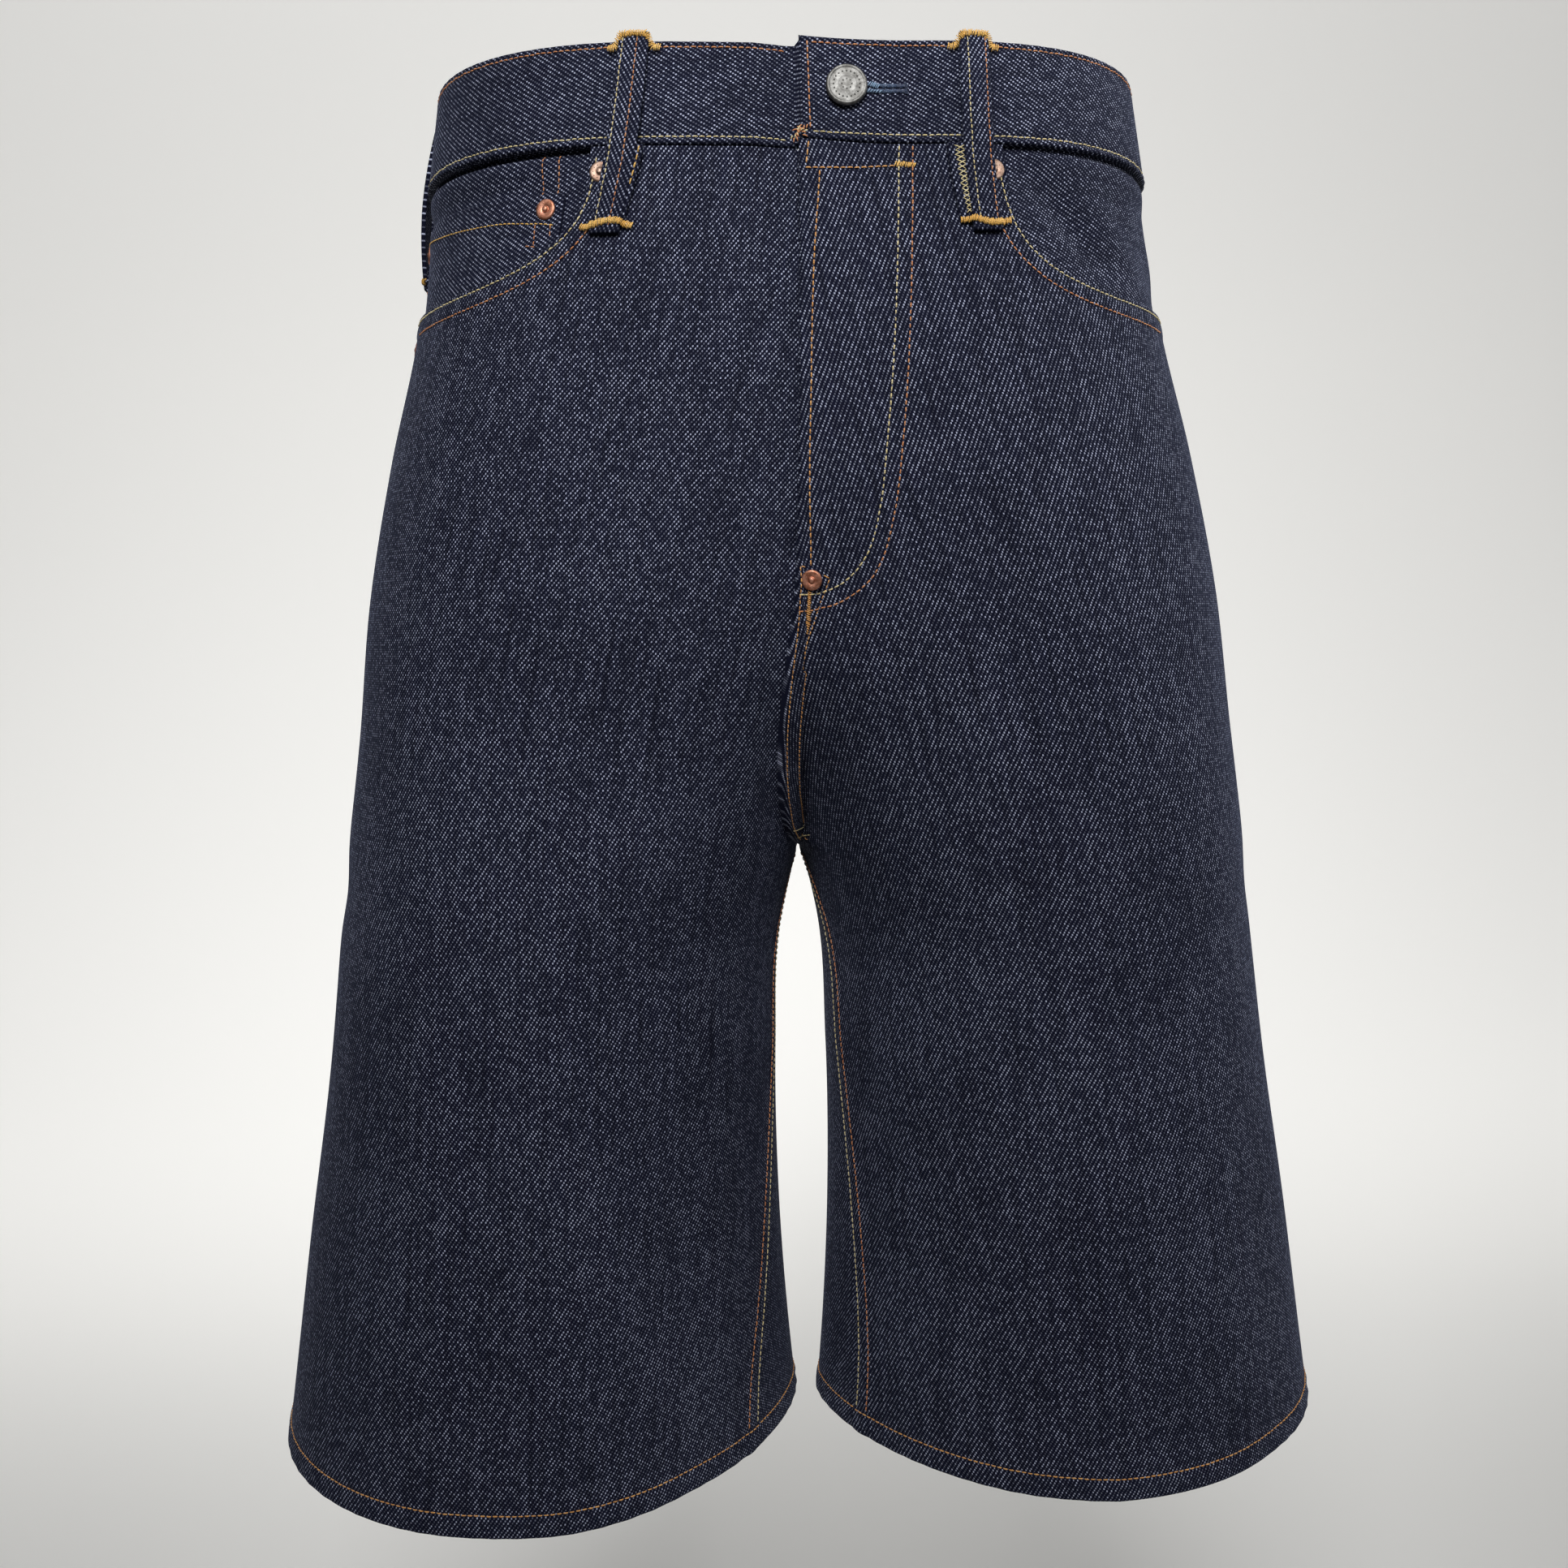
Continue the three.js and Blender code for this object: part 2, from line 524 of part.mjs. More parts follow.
// A solid for cutting and joining.
function solidOf(geometry) {
  const vertProperties = new Float32Array(geometry.getAttribute("position").array);
  const triVerts = new Uint32Array(geometry.index.array);
  return new wasm.Manifold(new wasm.Mesh({ numProp: 3, vertProperties, triVerts }));
}

function geometryOf(solid) {
  const mesh = solid.getMesh();
  const geometry = new THREE.BufferGeometry();
  geometry.setAttribute("position", new THREE.Float32BufferAttribute(Float32Array.from(mesh.vertProperties), 3));
  geometry.setIndex(Array.from(mesh.triVerts));
  return geometry;
}

// Keyhole through the flap only: a round eye at the button's shank and a slot away from the flap's end.
function cutButtonhole(band) {
  const { eye, slot, end, steps } = BUTTONHOLE;
  const outline = [];
  const spread = Math.asin(slot / 2 / eye);
  for (let k = 0; k <= steps; k += 1) {
    const angle = mix(spread, 2 * Math.PI - spread, k / steps);
    outline.push([BUTTON.x + eye * Math.cos(angle), BUTTON.level + eye * Math.sin(angle)]);
  }
  outline.push([end, BUTTON.level - slot / 2], [end, BUTTON.level + slot / 2]);
  const ring = (out) => outline.map(([x, level]) => clothPoint(1, level, placeAt(level, x), out));
  const cutter = prism(ring(BAND_PROUD + 1), ring(BAND_PROUD - BAND_CLOTH - GAP / 2));
  return geometryOf(solidOf(band).subtract(solidOf(cutter)));
}

// A closed prism between two loops of points, fanned from a corner that sees the whole loop.
function prism(front, back) {
  const count = front.length;
  const shape = front.map((point) => new THREE.Vector2(point.x, point.z));
  const faces = THREE.ShapeUtils.triangulateShape(shape, []);
  const positions = [...front, ...back].flatMap((point) => [point.x, point.y, point.z]);
  const index = [];
  for (const [a, b, c] of faces) index.push(a, b, c, count + a, count + c, count + b);
  for (let k = 0; k < count; k += 1) {
    const next = (k + 1) % count;
    index.push(k, count + k, count + next, k, count + next, next);
  }
  const geometry = new THREE.BufferGeometry();
  geometry.setAttribute("position", new THREE.Float32BufferAttribute(positions, 3));
  geometry.setIndex(index);
  return facingOut(geometry);
}

// Layers under the front panels, each a gap below the one above.
const UNDER_PANEL = -(CLOTH + GAP + 0.05);
const UNDER_COIN = UNDER_PANEL - POCKET_CLOTH - GAP;
const UNDER_FLY = -(2 * CLOTH + 3 * GAP);

// Fly facing behind the left front: straight at the top, curving in to the fly's foot.
function flyFacing() {
  const rows = 11;
  const top = PANEL_TOP - FLAP_RISE;
  return clothWall(1, rows + 1, 5, (i, j) => {
    const level = mix(top, FLY_FOOT + 4, i / rows);
    const intoCurve = clamp((FLY_FOOT + FLY_CURVE - level) / FLY_CURVE, 0, 1);
    const width = mix(4, FLY_WIDTH, Math.sqrt(1 - intoCurve ** 2));
    return { level, place: placeAt(level, mix(1, width, j / 4)), out: UNDER_PANEL - GAP / 2, cloth: POCKET_CLOTH };
  });
}

// Fly shield carried by the right front and reaching under the fly facing.
function flyShield() {
  const rows = 9;
  const columns = [-SHIELD_UNDER, -SHIELD_UNDER / 2, 0, SHIELD_REACH / 3, (2 * SHIELD_REACH) / 3, SHIELD_REACH];
  const layer = (level, out) =>
    columns.map((x) => clothPoint(x < 0 ? -1 : 1, level, placeAt(level, Math.abs(x)), out));
  const top = PANEL_TOP - FLAP_RISE - GAP;
  const levels = Array.from({ length: rows + 1 }, (_, i) => mix(top, FLY_FOOT + 8, i / rows));
  return wall(
    levels.map((level) => layer(level, UNDER_FLY)),
    levels.map((level) => layer(level, UNDER_FLY - POCKET_CLOTH)),
  );
}

// A layer laid on a panel's columns, with rows from a top line down to a foot line.
function laidWall(cut, side, columns, rows, topLevel, footLevel, out, cloth) {
  const layer = (depth) =>
    Array.from({ length: rows + 1 }, (_, i) =>
      columns.map((column) => {
        const level = mix(topLevel(column), footLevel(column), i / rows);
        return layOn(cut, side, column, level, depth);
      }),
    );
  return wall(layer(out), layer(out - cloth));
}

const columnsFrom = (first, last) => {
  const whole = [];
  for (let column = Math.floor(first) + 1; column < last; column += 1) whole.push(column);
  return [first, ...whole, last];
};

// Pocket facing: it shows in the mouth and runs on behind the front panel.
function pocketFacing(side, out) {
  const columns = columnsFrom(FRONT_FACING_COLUMN, FRONT_CUT.shares.length - 1);
  const foot = (column) => {
    const place = placeIn(FRONT_CUT, Math.min(column + 1, FRONT_CUT.shares.length - 1), BAND_SEAM);
    return Math.min(mouthLevel(place), BAND_SEAM - FACING_HIDDEN) - FACING_HIDDEN;
  };
  return laidWall(FRONT_CUT, side, columns, 6, () => PANEL_TOP, foot, out, POCKET_CLOTH);
}

// Coin pocket: a patch on the right facing, its foot and its outer edge behind the front panel.
function coinPocket() {
  const columns = columnsFrom(columnAt(FRONT_CUT, COIN_TOP, COIN_INNER_PLACE), FRONT_CUT.shares.length - 1);
  const foot = (column) => mouthLevel(placeIn(FRONT_CUT, Math.round(column), COIN_TOP)) - COIN_HIDDEN;
  return laidWall(FRONT_CUT, -1, columns, 4, () => COIN_TOP, foot, UNDER_PANEL, POCKET_CLOTH);
}

// Back patch pocket with five sides, lying on the back panel, its top hem a little proud.
// Its rows follow the panel's own rows between the hem and the foot.
function patchPocket(side) {
  const { top, slope, height, point, outer, inner, taper, hem, hemRise } = PATCH;
  const columns = columnsFrom(outer, inner);
  const lowest = GAP + 0.1;
  const rowsDown = (column) => {
    const share = (column - outer) / (inner - outer);
    const first = top - slope * share;
    const foot = first - height + point * Math.abs(2 * share - 1);
    const own = columnLevels(BACK_CUT, Math.round(column)).slice(HOLD_ROW - 1, HOLD_ROW + 4);
    return [first, first - hem, first - hem - 1, ...own, foot];
  };
  const layer = (depth, rise) => {
    const lines = columns.map((column, j) => {
      const levels = rowsDown(column);
      const drawnIn = j === 0 ? taper : j === columns.length - 1 ? -taper : 0;
      return levels.map((level, i) => {
        const down = (levels[0] - level) / (levels[0] - levels.at(-1));
        return layOn(BACK_CUT, side, column + drawnIn * down, level, depth + (i < 2 ? rise : 0));
      });
    });
    return lines[0].map((_, i) => lines.map((line) => line[i]));
  };
  return wall(layer(lowest + POCKET_CLOTH, hemRise), layer(lowest, 0));
}

// Belt loop: a strip tacked at the band's top edge and below its seam, standing off in between.
// pointAt(share, level, x, out) is the point x millimetres beside its middle line, a share of the way down.
const LOOP_ROWS = 9;
const LOOP_SETTLE = 6;
const LOOP_COLUMNS = [-LOOP_WIDTH / 2, 0, LOOP_WIDTH / 2];
function loopWall(bow, footRise, pointAt) {
  const layer = (thick) =>
    Array.from({ length: LOOP_ROWS + 1 }, (_, i) => {
      const share = i / LOOP_ROWS;
      const level = mix(BAND_TOP + LOOP_OVER, LOOP_FOOT, share);
      const onBand = Math.min(level, BAND_TOP);
      const seat = mix(BAND_PROUD, footRise, ease(clamp((BAND_SEAM - level) / LOOP_SETTLE, 0, 1))) + GAP + 0.1;
      const out = seat + bow * Math.sin(Math.PI * share) ** 0.8 + thick;
      return LOOP_COLUMNS.map((x) => pointAt(share, onBand, x, out).add(new THREE.Vector3(0, 0, level - onBand)));
    });
  return wall(layer(LOOP_CLOTH), layer(0));
}

function beltLoop({ side, top, foot, bow }) {
  return loopWall(bow, top > OUTSEAM ? FELL_RISE : 0, (share, level, x, out) => {
    const middle = mix(top, foot, share);
    const step = 0.01;
    const width = smoothPoint(side, level, middle + step).distanceTo(smoothPoint(side, level, middle - step));
    return clothPoint(side, level, middle + (x * 2 * step) / width, out);
  });
}

// The centre back loop stands across both sides of the seam.
const backLoop = () =>
  loopWall(BACK_LOOP_BOW, FELL_RISE, (share, level, x, out) =>
    clothPoint(x < 0 ? -1 : 1, level, 4 - placeAt(level, Math.abs(x)), out),
  );

// A turned piece on the cloth: its profile runs from the axis at the foot to the axis at the face, radius and height.
function turned(name, profile, steps, { side, level, place, out }, finish) {
  const points = profile.map(([radius, height]) => new THREE.Vector2(radius, height));
  const mesh = add(name, new THREE.LatheGeometry(points, steps), finish);
  mesh.position.copy(clothPoint(side, level, place, out));
  mesh.quaternion.setFromUnitVectors(new THREE.Vector3(0, 1, 0), outward(side, level, place));
  return mesh;
}

function button() {
  const { across, thick, stand, shank, level, x } = BUTTON;
  const radius = across / 2;
  const profile = [
    [0, -BAND_CLOTH],
    [shank, -BAND_CLOTH],
    [shank, stand],
    [radius - 1.4, stand],
    [radius, stand + 1],
    [radius, stand + 1.9],
    [radius - 0.6, stand + thick - 0.4],
    [radius - 1.5, stand + thick - 0.3],
    [radius - 1.9, stand + thick - 0.6],
    [0.35 * radius, stand + thick],
    [0, stand + thick + 0.1],
  ];
  const seat = { side: 1, level, place: placeAt(level, x), out: BAND_PROUD };
  turned("waist_button", profile, 20, seat, SILVER);
}

function rivet({ name, side, level, place, x, lift }) {
  const { thick, nub, nubHigh } = RIVET;
  const radius = RIVET.across / 2;
  const profile = [
    [0, 0],
    [radius, 0],
    [radius, thick * 0.5],
    [radius - 0.5, thick],
    [nub + 0.6, thick * 0.75],
    [nub * 0.85, thick + nubHigh * 0.8],
    [0, thick + nubHigh],
  ];
  const seat = { side, level, place: place ?? placeAt(level, x), out: lift + GAP };
  turned(name, profile, 12, seat, COPPER);
}

for (const [side, hand] of [[1, "left"], [-1, "right"]]) {
  add(`front_panel_${hand}`, frontPanel(side), DENIM);
  add(`back_panel_${hand}`, backPanel(side), DENIM);
  add(`yoke_${hand}`, yoke(side), DENIM);
  add(`back_pocket_${hand}`, patchPocket(side), DENIM);
}
add("pocket_facing_left", pocketFacing(1, UNDER_PANEL), DENIM);
add("pocket_facing_right", pocketFacing(-1, UNDER_COIN), DENIM);
add("coin_pocket", coinPocket(), DENIM);
add("fly_facing", flyFacing(), DENIM);
add("fly_shield", flyShield(), DENIM);
add("waistband", waistband(), DENIM);
for (const loop of LOOPS) add(loop.name, beltLoop(loop), DENIM);
add("belt_loop_centre_back", backLoop(), DENIM);
button();
for (const row of RIVETS) rivet(row);

export default shorts;
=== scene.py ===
"""Raw denim shorts in their worn, hollow form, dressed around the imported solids.

Sizes in this file are millimetres and degrees unless a name says otherwise; meshes are made in metres.
The cloth is one smooth worn form, given by a level (height on the cloth) and a place round one leg:
0 innermost, 1 foremost, 2 outermost, 3 rearmost and 4 innermost again. Side 1 is the wearer's left.
Above the crotch a place past the centre seam runs on over the other half of the hips.
"""
import logging
from dataclasses import dataclass, field
from enum import Enum
from functools import cached_property
from typing import Callable, Sequence, Union

import bpy
import numpy as np
from mathutils import Matrix


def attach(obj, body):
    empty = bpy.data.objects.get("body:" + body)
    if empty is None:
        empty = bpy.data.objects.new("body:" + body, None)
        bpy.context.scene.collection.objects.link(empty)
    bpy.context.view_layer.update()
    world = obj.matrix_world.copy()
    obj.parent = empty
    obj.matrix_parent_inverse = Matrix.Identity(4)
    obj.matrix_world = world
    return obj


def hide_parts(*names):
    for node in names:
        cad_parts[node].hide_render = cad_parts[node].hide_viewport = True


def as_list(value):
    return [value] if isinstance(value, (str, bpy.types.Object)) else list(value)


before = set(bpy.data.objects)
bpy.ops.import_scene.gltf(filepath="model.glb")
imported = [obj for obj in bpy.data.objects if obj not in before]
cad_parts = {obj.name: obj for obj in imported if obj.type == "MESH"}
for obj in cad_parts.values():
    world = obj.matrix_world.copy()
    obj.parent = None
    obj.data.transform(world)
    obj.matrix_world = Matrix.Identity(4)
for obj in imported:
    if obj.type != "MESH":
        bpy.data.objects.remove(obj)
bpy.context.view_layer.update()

LOG = logging.getLogger("shorts")
METRE = 0.001
TURN = 4.0
Array = np.ndarray
Face = Callable[..., Array]


def clamp(value: Array, low: float = 0.0, high: float = 1.0) -> Array:
    """Value held between two limits."""
    return np.clip(value, low, high)


def ease(share: Array) -> Array:
    """Smooth step from 0 to 1: three squares less two cubes of the share, held between 0 and 1."""
    held = np.clip(share, 0.0, 1.0)
    return held * held * (3.0 - 2.0 * held)


def bump(distance: Array, width: float) -> Array:
    """Bell of height 1: e to minus the square of distance over width."""
    return np.exp(-((distance / width) ** 2))


def hermite(stations: Array, values: Array, at: Array) -> Array:
    """Smooth curve through values at rising stations.

    A cubic between each two stations, with each slope taken from the neighbours.

    Args:
        stations: Rising positions of the known values.
        values: The values, one for each station.
        at: Positions to read, held inside the stations' range.

    Returns:
        The curve's value at each position.
    """
    slope = np.gradient(values, stations)
    held = np.clip(at, stations[0], stations[-1])
    i = np.clip(np.searchsorted(stations, held, side="right") - 1, 0, len(stations) - 2)
    step = stations[i + 1] - stations[i]
    s = (held - stations[i]) / step
    s2, s3 = s * s, s * s * s
    return (
        (2 * s3 - 3 * s2 + 1) * values[i]
        + (s3 - 2 * s2 + s) * step * slope[i]
        + (3 * s2 - 2 * s3) * values[i + 1]
        + (s3 - s2) * step * slope[i + 1]
    )


def lengths_along(points: Array) -> Array:
    """Distance from the first point to each point of a line."""
    steps = np.linalg.norm(np.diff(points, axis=0), axis=-1)
    return np.concatenate([[0.0], np.cumsum(steps)])


def straight(stations: Array, values: Array, at: Array) -> Array:
    """Straight steps through values at rising stations."""
    return np.interp(at, stations, values)


def read_rows(stations: Array, table: Array, at: Array) -> Array:
    """Rows of a table at stations between its own, on straight steps."""
    return np.stack([np.interp(at, stations, column) for column in table.T], -1)


def unit(vectors: Array) -> Array:
    """Vectors scaled to length 1."""
    return vectors / np.maximum(np.linalg.norm(vectors, axis=-1, keepdims=True), 1e-12)


# The worn form

SECTION_NAMES = ("level", "side", "front", "back", "peak", "inner", "inseam", "round", "inner_round", "twist")
SECTION_ROWS = (
    (21, 158.5, 104, 104, 40, -300, 0, 2.2, 2.2, 2.4),
    (-21, 164.5, 110, 110, 42, -290, 0, 2.2, 2.2, 2.4),
    (-80, 171.5, 117, 126, 55, -260, 0, 2.2, 2.2, 2.4),
    (-140, 186.5, 118, 134, 70, -190, 0, 2.2, 2.2, 2.4),
    (-200, 198.5, 117, 130, 88, -100, 0, 2.2, 2.2, 2.4),
    (-260, 205.5, 115, 120, 103, -32, 0, 2.2, 2.1, 2.4),
    (-318, 214, 112, 110, 112, 0.4, 0, 2.15, 2, 1),
    (-350, 218, 110, 105, 117, 8.5, 0.08, 2.1, 1.9, 0),
    (-420, 226.5, 108, 101, 121, 12.5, 0.13, 2.1, 1.85, -1.5),
    (-500, 239, 107, 98, 125, 12, 0.21, 2.1, 1.8, -3),
    (-570, 249, 107, 97, 126, 8, 0.27, 2.1, 1.75, -3.5),
    (-605, 254, 107, 97, 127, 5, 0.28, 2.1, 1.75, -3.5),
)

FOLD_NAMES = ("side", "level", "place", "spread", "length", "depth", "lean")
FOLD_ROWS = (
    (1, -243, 0.62, 0.07, 34, 1.9, 0.0022),
    (1, -262, 0.74, 0.08, 46, -1.6, 0.0018),
    (1, -52, 1.34, 0.05, 17, -1.8, -0.004),
    (1, -50, 1.5, 0.08, 24, 1.5, -0.004),
    (1, -60, 1.9, 0.16, 13, 1.6, 0),
    (1, -470, 0.86, 0.09, 120, -2.2, 0),
    (1, -520, 1.46, 0.12, 110, -2, 0.0003),
    (1, -335, 1.93, 0.2, 15, -1.7, 0),
    (1, -228, 3.3, 0.12, 40, -2.6, -0.003),
    (1, -275, 3.45, 0.1, 36, -2.4, -0.004),
    (1, -455, 3.05, 0.13, 110, -2.4, 0),
    (-1, -250, 0.6, 0.08, 40, 1.5, 0.002),
    (-1, -190, 1.25, 0.14, 90, 1.4, 0),
    (-1, -455, 1.12, 0.1, 130, -2, -0.0002),
    (-1, -520, 0.62, 0.09, 90, -2, 0),
    (-1, -330, 1.93, 0.2, 15, -1.7, 0),
    (-1, -240, 3.25, 0.12, 38, -2.4, -0.003),
    (-1, -290, 3.5, 0.1, 34, -2.6, -0.004),
    (-1, -430, 2.85, 0.12, 120, -2.2, 0.0002),
)


@dataclass(frozen=True)
class WornForm:
    """The outer face of the cloth as it is worn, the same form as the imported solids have."""

    band_top: float = 21.0
    band_seam: float = -21.0
    crotch: float = -318.0
    hem: float = -605.0
    side_lift: float = 6.0
    back_lift: float = 22.0
    hem_outer_rise: float = 8.0
    hem_inner_rise: float = 9.0
    flap_rise: float = 3.0
    flap_reach: float = 55.0
    outseam: float = 1.97
    centre_clear: float = 30.0
    leg_axis_reach: float = 60.0

    def section(self, level: Array, name: str) -> Array:
        """One column of the section table at a level, on a smooth curve through its rows."""
        table = np.array(SECTION_ROWS, float)
        return hermite(-table[:, 0], table[:, SECTION_NAMES.index(name)], -np.asarray(level, float))

    def place_at(self, level: Array, x: Array) -> Array:
        """Front place round the leg at a distance from the centre plane.

        The inverse of the section's x: a quarter of a superellipse on each side of its foremost point.

        Args:
            level: Height on the cloth.
            x: Distance from the centre plane, towards the piece's own side.

        Returns:
            The place, from 0 to 2.
        """
        peak = self.section(level, "peak")
        inner, side = self.section(level, "inner"), self.section(level, "side")
        near = clamp((peak - x) / (peak - inner)) ** (self.section(level, "inner_round") / 2)
        far = clamp((x - peak) / (side - peak)) ** (self.section(level, "round") / 2)
        return 1 + (2 / np.pi) * np.where(x <= peak, -np.arcsin(near), np.arcsin(far))

    def signed_place(self, level: Array, x: Array) -> Array:
        """Front place at a distance from the centre plane, which may be below 0, past the centre."""
        reach = self.place_at(level, np.abs(x))
        return np.where(x < 0, 2 * self.place_at(level, np.zeros_like(level)) - reach, reach)

    def width_at(self, level: Array, place: Array) -> Array:
        """Distance from the centre plane of a front place, below 0 past the centre seam."""
        centre = self.place_at(level, np.zeros_like(level))
        past = place < centre
        angle = (1 - clamp(np.where(past, 2 * centre - place, place))) * np.pi / 2
        peak, inner = self.section(level, "peak"), self.section(level, "inner")
        x = peak + (inner - peak) * np.sin(angle) ** (2 / self.section(level, "inner_round"))
        return np.where(past, -x, x)

    def own_half(self, side: Array, level: Array, place: Array) -> tuple[Array, Array]:
        """Side and place with those past a centre seam turned over to the other half."""
        front_centre = self.place_at(level, np.zeros_like(level))
        above = level > self.crotch
        past_front = above & (place < front_centre)
        past_back = above & (place > TURN - front_centre)
        turned = np.where(past_front, 2 * front_centre - place, place)
        turned = np.where(past_back, 2 * (TURN - front_centre) - place, turned)
        return np.where(past_front | past_back, -side, side), turned

    def smooth(self, side: Array, level: Array, place: Array) -> Array:
        """Point of the form without its folds.

        Each quarter of a section is a superellipse between the peak and the side or the inner line. The
        height is the level, lifted towards the side and back of the waist and towards the hem's seams.

        Args:
            side: 1 for the wearer's left, -1 for the right.
            level: Height on the cloth.
            place: Place round the leg.

        Returns:
            Points, with x, y and z on the last axis.
        """
        turn = np.mod(place, TURN)
        quarter = np.floor(turn)
        share = turn - quarter
        angle = np.where(quarter % 2 == 0, 1 - share, share) * np.pi / 2
        peak = self.section(level, "peak")
        medial = (quarter == 0) | (quarter == 3)
        power = 2 / np.where(medial, self.section(level, "inner_round"), self.section(level, "round"))
        reach = np.where(medial, self.section(level, "inner"), self.section(level, "side")) - peak
        ahead = quarter < 2
        depth = np.where(ahead, -self.section(level, "front"), self.section(level, "back"))
        x = peak + reach * np.sin(angle) ** power
        y = depth * np.maximum(np.cos(angle), 0) ** power

        waist = clamp((level - self.crotch) / (self.band_top - self.crotch)) ** 1.5
        behind = np.arctan2(np.abs(x), -y) / np.pi
        lift = self.side_lift * np.sin(clamp(behind, 0, 0.5) * np.pi) ** 3
        lift = lift + (self.back_lift - self.side_lift) * clamp(2 * behind - 1) ** 1.3
        flap = np.where((side > 0) & ahead, clamp(1 - x / self.flap_reach) ** 2, 0)
        flap = self.flap_rise * flap * clamp((level + 80) / 60)
        leg = clamp((self.crotch - level) / (self.crotch - self.hem))
        outer = np.cos(clamp(np.abs(turn - 2)) * np.pi / 2) ** 2
        inner = np.cos(clamp(np.minimum(turn, TURN - turn)) * np.pi / 2) ** 2
        z = level - self.back_lift / 2 + lift * waist + flap
        z = z + leg * (self.hem_outer_rise * outer + self.hem_inner_rise * inner)

        twist = np.radians(self.section(level, "twist"))
        pivot = side * peak * clamp((self.crotch - level) / self.leg_axis_reach)
        arm = side * x - pivot
        return np.stack(
            [pivot + arm * np.cos(twist) + y * np.sin(twist), y * np.cos(twist) - arm * np.sin(twist), z], -1
        )

    def outward(self, side: Array, level: Array, place: Array) -> Array:
        """Unit direction out of the smooth form, from differences round the leg and up it."""
        round_leg = self.smooth(side, level, place + 0.004) - self.smooth(side, level, place - 0.004)
        above = np.minimum(self.band_top, level + 0.5)
        below = np.maximum(self.hem, level - 0.5)
        up = self.smooth(side, above, place) - self.smooth(side, below, place)
        return unit(np.cross(round_leg, up)) * side[..., None]

    def folds(self, side: Array, level: Array, place: Array) -> Array:
        """Height of the soft ridges and troughs: the sum of the table's bells, none at the centre seam."""
        height = np.zeros_like(level)
        for row in FOLD_ROWS:
            fold = dict(zip(FOLD_NAMES, row))
            down = level - fold["level"]
            across = (place - fold["place"] - fold["lean"] * down) / fold["spread"]
            bell = fold["depth"] * np.exp(-across * across - (down / fold["length"]) ** 2)
            height += np.where(side == fold["side"], bell, 0)
        own_x = np.abs(self.smooth(side, level, place)[..., 0])
        return height * np.where(level > self.crotch, clamp(own_x / self.centre_clear), 1)

    def face(self, side: float, level: Array, place: Array, out: Array = 0.0) -> Array:
        """Point of the cloth's outer face, moved out by a number of millimetres.

        Args:
            side: The half that the place is counted on.
            level: Height on the cloth.
            place: Place round the leg, which may run past a centre seam.
            out: Distance out of the face.

        Returns:
            Points, with x, y and z on the last axis.
        """
        level, place, out = np.broadcast_arrays(*(np.asarray(v, float) for v in (level, place, out)))
        own, turned = self.own_half(np.full(level.shape, float(side)), level, place)
        height = self.folds(own, level, turned) + out
        return self.smooth(own, level, turned) + self.outward(own, level, turned) * height[..., None]


FORM = WornForm()


@dataclass(frozen=True)
class ClothMap:
    """Flat coordinates on the worn cloth: lengths across from a grain line and down along it."""

    side: int
    grain: float
    level_step: float = 6.0
    place_step: float = 0.01
    first_place: float = -0.6
    last_place: float = 4.6

    @cached_property
    def tables(self) -> tuple[Array, Array, Array, Array]:
        """Levels, places, the lengths across at each level, and the lengths down the grain line."""
        levels = np.arange(FORM.band_top, FORM.hem - self.level_step, -self.level_step)
        places = np.arange(self.first_place, self.last_place, self.place_step)
        points = FORM.face(self.side, levels[:, None], places[None, :])
        across = np.linalg.norm(np.diff(points, axis=1), axis=-1)
        across = np.concatenate([np.zeros((len(levels), 1)), np.cumsum(across, axis=1)], axis=1)
        origin = int(round((self.grain - self.first_place) / self.place_step))
        return levels, places, across - across[:, origin : origin + 1], lengths_along(points[:, origin])

    def flat(self, level: Array, place: Array) -> Array:
        """Lengths across and up, in millimetres, read from the tables between their nearest entries."""
        levels, places, across, down = self.tables
        i = clamp((levels[0] - level) / self.level_step, 0, len(levels) - 1.001)
        j = clamp((place - places[0]) / self.place_step, 0, len(places) - 1.001)
        i0, j0 = i.astype(int), j.astype(int)
        si, sj = i - i0, j - j0
        top = across[i0, j0] * (1 - sj) + across[i0, j0 + 1] * sj
        low = across[i0 + 1, j0] * (1 - sj) + across[i0 + 1, j0 + 1] * sj
        fallen = down[i0] * (1 - si) + down[i0 + 1] * si
        return np.stack([(top * (1 - si) + low * si) * self.side, -fallen], -1)


FRONT_GRAIN, BACK_GRAIN = 1.3, 2.8
CLOTH_MAPS = {(side, grain): ClothMap(side, grain) for side in (1, -1) for grain in (FRONT_GRAIN, BACK_GRAIN)}


# Materials


